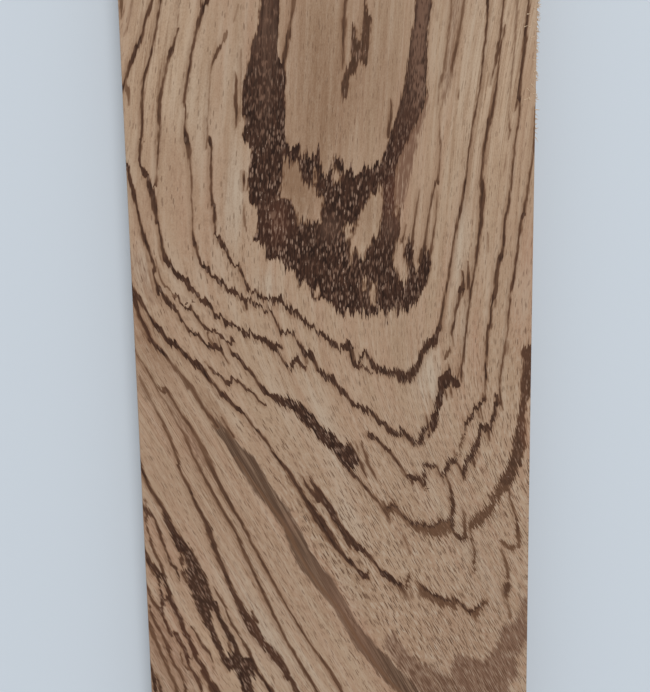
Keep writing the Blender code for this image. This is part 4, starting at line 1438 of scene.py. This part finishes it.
def stripe_mask(wood, number):
    """One set of stripes: the darkness of their body, of their rough part, and of the soft
    shade beside them.

    A stripe that crosses the fibres has a sharp toothed edge. One that runs along them is
    calm: thinner, smooth and faded at its sides, unless it lies where the wood is lively."""
    signed, along, plain = wood.attribute(f"stripe_{number}")
    half, tone, _ = wood.attribute(f"width_{number}")
    calm = wood.times(wood.step(wood.magnitude(along), 0.38, 0.1), wood.rest(wood.lively))
    shift = wood.times(wood.jitter, along)
    moved = wood.plus(signed, shift, wood.times(wood.wobble, wood.scaled(calm, -0.6, 1.0)))
    width = wood.times(half, wood.swell, wood.scaled(calm, -0.3, 1.06))
    outside = wood.math("SUBTRACT", wood.magnitude(moved), width)
    ragged = wood.times(wood.noise["tufts"], wood.scaled(wood.lively, 0.2, 0.26))
    edge = wood.step(
        wood.plus(outside, ragged), wood.scaled(calm, 0.22, 0.2), wood.scaled(calm, -0.27, -0.2))
    beside = wood.math("SUBTRACT", wood.magnitude(wood.plus(moved, 0.45)), width)
    shade = wood.step(beside, 1.5, -0.1)
    close = wood.math("LESS_THAN", plain, wood.plus(width, wood.magnitude(shift), 1.6))
    gate = wood.times(close, tone)
    uneven = wood.scaled(wood.noise["streak"], 0.2, 0.93)
    body = wood.times(edge, gate, wood.mix_numbers(calm, 1.0, uneven))
    return body, wood.times(body, wood.rest(calm)), wood.times(shade, gate)


def all_stripes(wood):
    """The body, rough part and shade of all the stripes together."""
    together = stripe_mask(wood, 0)
    for number in range(1, STRIPE_SETS):
        masks = stripe_mask(wood, number)
        together = [wood.greatest(one, other) for one, other in zip(together, masks)]
    return together


def patch_masks(wood):
    """The dark patches: their body, the shade beside them, and how deep inside a place lies."""
    noise = wood.noise
    distance, slope, soft = wood.attribute("patch")
    tone = wood.attribute("patch_tone")[0]
    in_line = wood.rest(wood.magnitude(slope))
    moved = wood.plus(distance, wood.times(wood.jitter, slope, 1.2), wood.wobble,
                      wood.times(noise["tufts"], wood.plus(soft, 0.2)),
                      wood.times(noise["fleck"], 0.3), wood.times(noise["streak"], in_line, 0.6))
    soft = wood.scaled(in_line, 0.18, soft)
    body = wood.times(wood.step(moved, soft, wood.times(soft, -1.0)), tone)
    return body, wood.step(moved, 0.9, -0.3), wood.step(distance, 0.4, -1.8)


def with_bands(wood, colour):
    """The light wood with the soft brown bands over it."""
    noise = wood.noise
    distance, slope, soft = wood.attribute("band")
    tone, red, _ = wood.attribute("band_tone")
    moved = wood.plus(distance, wood.times(wood.jitter, slope), wood.wobble,
                      wood.times(noise["streak"], 0.8), wood.times(noise["tufts"], 0.3),
                      wood.times(noise["bold"], red, -0.7))
    body = wood.step(moved, soft, wood.times(soft, -1.0))
    dashed = wood.plus(wood.times(noise["streak"], 0.35), wood.times(noise["fine"], 0.3),
                       wood.times(noise["fine"], red, 0.5), wood.times(noise["bold"], red, 0.65),
                       1.05)
    uneven = wood.plus(wood.times(noise["fine"], 0.5), wood.times(noise["streak"], 0.4), 0.4)
    own = wood.mix(uneven, BAND, BAND_DARK)
    redness = wood.greatest(red, wood.times(wood.rose, 0.8))
    own = wood.mix(wood.times(redness, 0.85), own, BAND_RED)
    return wood.mix(wood.times(body, tone, dashed), colour, own)


def light_wood(wood):
    """The colour of the wood between the stripes, and how much it is dashed."""
    noise = wood.noise
    warm = wood.plus(wood.rose, wood.scaled(noise["broad"], 0.4, 0.25))
    colour = wood.mix(warm, WOOD, WOOD_ROSE)
    # The broad pale tints at the upper end, by both edges, are painted light: they brighten the wood
    # there as more light would.
    cool = wood.plus(wood.pale, wood.times(noise["drift"], 0.5))
    colour = wood.mix(cool, colour, WOOD_PALE)
    lines = wood.step(noise["fine"], 0.25, 0.8)
    threads = wood.step(wood.magnitude(noise["ridge"]), 0.17, 0.02)
    # Brown tints below zero brighten the wood; at the upper end, by both edges, this brightening is
    # painted light.
    colour = wood.mix(wood.times(wood.brown, -1.0), colour, WOOD_BRIGHT)
    brownness = wood.plus(
        wood.greatest(wood.brown, 0.0), wood.times(noise["streak"], 0.12),
        wood.times(lines, wood.scaled(wood.lined, 0.45, 0.16)), wood.times(noise["speck"], 0.2),
        wood.times(noise["drift"], -0.25), wood.times(wood.hatch, 0.05), 0.1,
        wood.times(threads, wood.lined, 0.6))
    colour = wood.mix(brownness, colour, WOOD_BROWN)
    dashed = wood.plus(wood.times(wood.hatch, 0.62), wood.times(wood.upper, -0.2), 0.38)
    light = wood.times(wood.step(noise["bold"], -0.22, -0.58), dashed, 0.7)
    return wood.mix(light, colour, WOOD_PALE), dashed


def pore_mask(wood, dashed):
    """The dark pores and dashes of the light wood."""
    noise = wood.noise
    size = wood.scaled(wood.plus(wood.hatch, wood.times(noise["fleck"], 0.6)), 0.08, 0.23)
    strength = wood.plus(wood.times(wood.hatch, 0.22), wood.times(wood.upper, -0.2), 0.66)
    pores = wood.times(wood.dashes(0.8, 6.2, size, seed=29.0, core=0.66), strength)
    return wood.greatest(pores, wood.times(wood.step(noise["bold"], 0.27, 0.6), dashed, 0.66))


def ink_colour(wood, patch, ticking, wear):
    """The colour of the dark wood, with its worn flecks and light ticks."""
    noise = wood.noise
    deepness = wood.plus(wood.times(noise["tufts"], 0.5), wood.times(noise["streak"], 0.35),
                         wood.times(noise["clump"], 0.25), wood.times(patch, 0.2), 0.45)
    ink = wood.mix(deepness, STRIPE, STRIPE_DEEP)
    ink = wood.mix(wood.times(wood.rose, 0.7), ink, STRIPE_RED)
    ink = wood.mix(wood.times(wear, 0.85), ink, FLECK)
    ink = wood.mix(wood.times(ticking, 0.95), ink, TICK)
    veil = wood.times(wood.still, patch, wood.plus(wood.times(noise["streak"], 0.5), 0.3))
    return wood.mix(veil, ink, FLECK)


def wood_material():
    """The whole wood: light wood, bands, pores, stripes and patches, and the relief."""
    material = bpy.data.materials.new("zebrawood")
    wood = Wood(material)
    noise = wood.noise
    stripe, rough, stripe_shade = all_stripes(wood)
    patch, patch_shade, deep = patch_masks(wood)
    shade = wood.greatest(stripe_shade, patch_shade)
    flecked = wood.plus(noise["fleck"], wood.times(wood.worn, 0.9))
    wear = wood.times(wood.step(flecked, 0.15, 0.95), deep)

    colour, dashed = light_wood(wood)
    colour = with_bands(wood, colour)
    pores = pore_mask(wood, dashed)
    colour = wood.mix(pores, colour, PORE)
    shading = wood.times(shade, wood.scaled(noise["streak"], 0.22, 0.38))
    colour = wood.mix(shading, colour, STRIPE_EDGE)

    ticks = wood.mix_numbers(
        wood.step(wood.fibre[1], 74.0, 98.0), wood.dashes(0.85, 3.4, 0.4, seed=57.0),
        wood.dashes(0.75, 6.5, 0.38, seed=91.0))
    busy = wood.greatest(wood.times(rough, wood.mix_numbers(wood.lively, 0.55, 1.0)),
                         wood.times(patch, wood.rest(wood.still)))
    ticking = wood.times(ticks, busy, wood.step(noise["clump"], -1.0, 0.7))
    ink = ink_colour(wood, patch, ticking, wear)
    dark = wood.greatest(stripe, patch)
    colour = wood.mix(wood.times(dark, 1.5), colour, STRIPE_EDGE)
    colour = wood.mix(wood.times(dark, dark), colour, ink)
    # Painted highlights: bright glints on the cores of the ticks deep in the dark wood, where fibres
    # would catch the light.
    sparkle = wood.plus(wood.times(noise["speck"], 0.7), ticks)
    painted_glint = wood.times(wood.step(sparkle, 1.1, 1.6), deep, busy, 0.8)
    colour = wood.mix(painted_glint, colour, PAINTED_GLINT)
    colour = wood.mix(wood.torn, colour, TORN)
    add_surface(wood, colour, pores, dark)
    return material


def add_surface(wood, colour, pores, dark):
    """The dull planed surface, with the relief of its pores and tufts."""
    noise = wood.noise
    height = wood.plus(wood.times(noise["tufts"], -0.3), wood.times(noise["streak"], 0.25),
                       wood.times(noise["speck"], 0.15), wood.times(pores, -0.6))
    bump = wood.add("ShaderNodeBump")
    bump.inputs["Strength"].default_value = 0.35
    bump.inputs["Distance"].default_value = 0.00012
    wood.feed(bump.inputs["Height"], height)
    shader = wood.add("ShaderNodeBsdfPrincipled")
    wood.feed(shader.inputs["Base Color"], colour)
    wood.feed(shader.inputs["Normal"], bump.outputs[0])
    roughness = wood.scaled(noise["streak"], 0.04, wood.scaled(dark, -0.04, 0.78))
    wood.feed(shader.inputs["Roughness"], roughness)
    shader.inputs["Specular IOR Level"].default_value = 0.12
    output = wood.add("ShaderNodeOutputMaterial")
    wood.feed(output.inputs["Surface"], shader.outputs[0])


# Floor, lights and camera.

def floor_material():
    material = bpy.data.materials.new("studio_floor")
    material.use_nodes = True
    shader = material.node_tree.nodes["Principled BSDF"]
    shader.inputs["Base Color"].default_value = FLOOR
    shader.inputs["Roughness"].default_value = 0.9
    shader.inputs["Specular IOR Level"].default_value = 0.1
    return material


def make_floor():
    bpy.ops.mesh.primitive_plane_add(size=FLOOR_SIZE)
    floor = bpy.context.object
    floor.name = "studio_floor"
    floor.data.materials.append(floor_material())


def add_light(name, kind, place, **settings):
    """A light at a place in metres, which shines at the board's middle."""
    light = bpy.data.lights.new(name, kind)
    for setting, value in settings.items():
        setattr(light, setting, value)
    holder = bpy.data.objects.new(name, light)
    holder.location = place
    holder.rotation_mode = "QUATERNION"
    holder.rotation_quaternion = (-Vector(place)).to_track_quat("-Z", "Y")
    bpy.context.scene.collection.objects.link(holder)


def make_lights():
    """A softbox, a wide far light on its line that lights the whole floor alike, and the world."""
    world = bpy.data.worlds.new("studio")
    world.use_nodes = True
    background = world.node_tree.nodes["Background"]
    background.inputs["Color"].default_value = WORLD_COLOUR
    background.inputs["Strength"].default_value = WORLD_STRENGTH
    bpy.context.scene.world = world
    add_light("softbox_key", "AREA", KEY_PLACE, shape="DISK", size=KEY_SIZE, energy=KEY_WATTS)
    add_light("sky_window", "SUN", KEY_PLACE, angle=SKY_WIDTH, energy=SKY_STRENGTH)


def make_camera():
    """The camera at the photograph's angle, with its lens."""
    right, down, forward = camera_axes()
    camera = bpy.data.cameras.new("camera")
    camera.sensor_fit = "VERTICAL"
    camera.sensor_height = SENSOR
    camera.lens = LENS
    camera.clip_start = 0.01
    holder = bpy.data.objects.new("camera", camera)
    turn = Matrix((right, -down, -forward)).transposed().to_4x4()
    place = camera_place() / 1000 + Vector((0.0, 0.0, THICKNESS / 1000))
    holder.matrix_world = Matrix.Translation(place) @ turn
    bpy.context.scene.collection.objects.link(holder)
    bpy.context.scene.camera = holder


bpy.context.scene.view_settings.view_transform = "Standard"
board = make_board(wood_material())
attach(board, "root")
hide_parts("board")
make_floor()
make_lights()
make_camera()
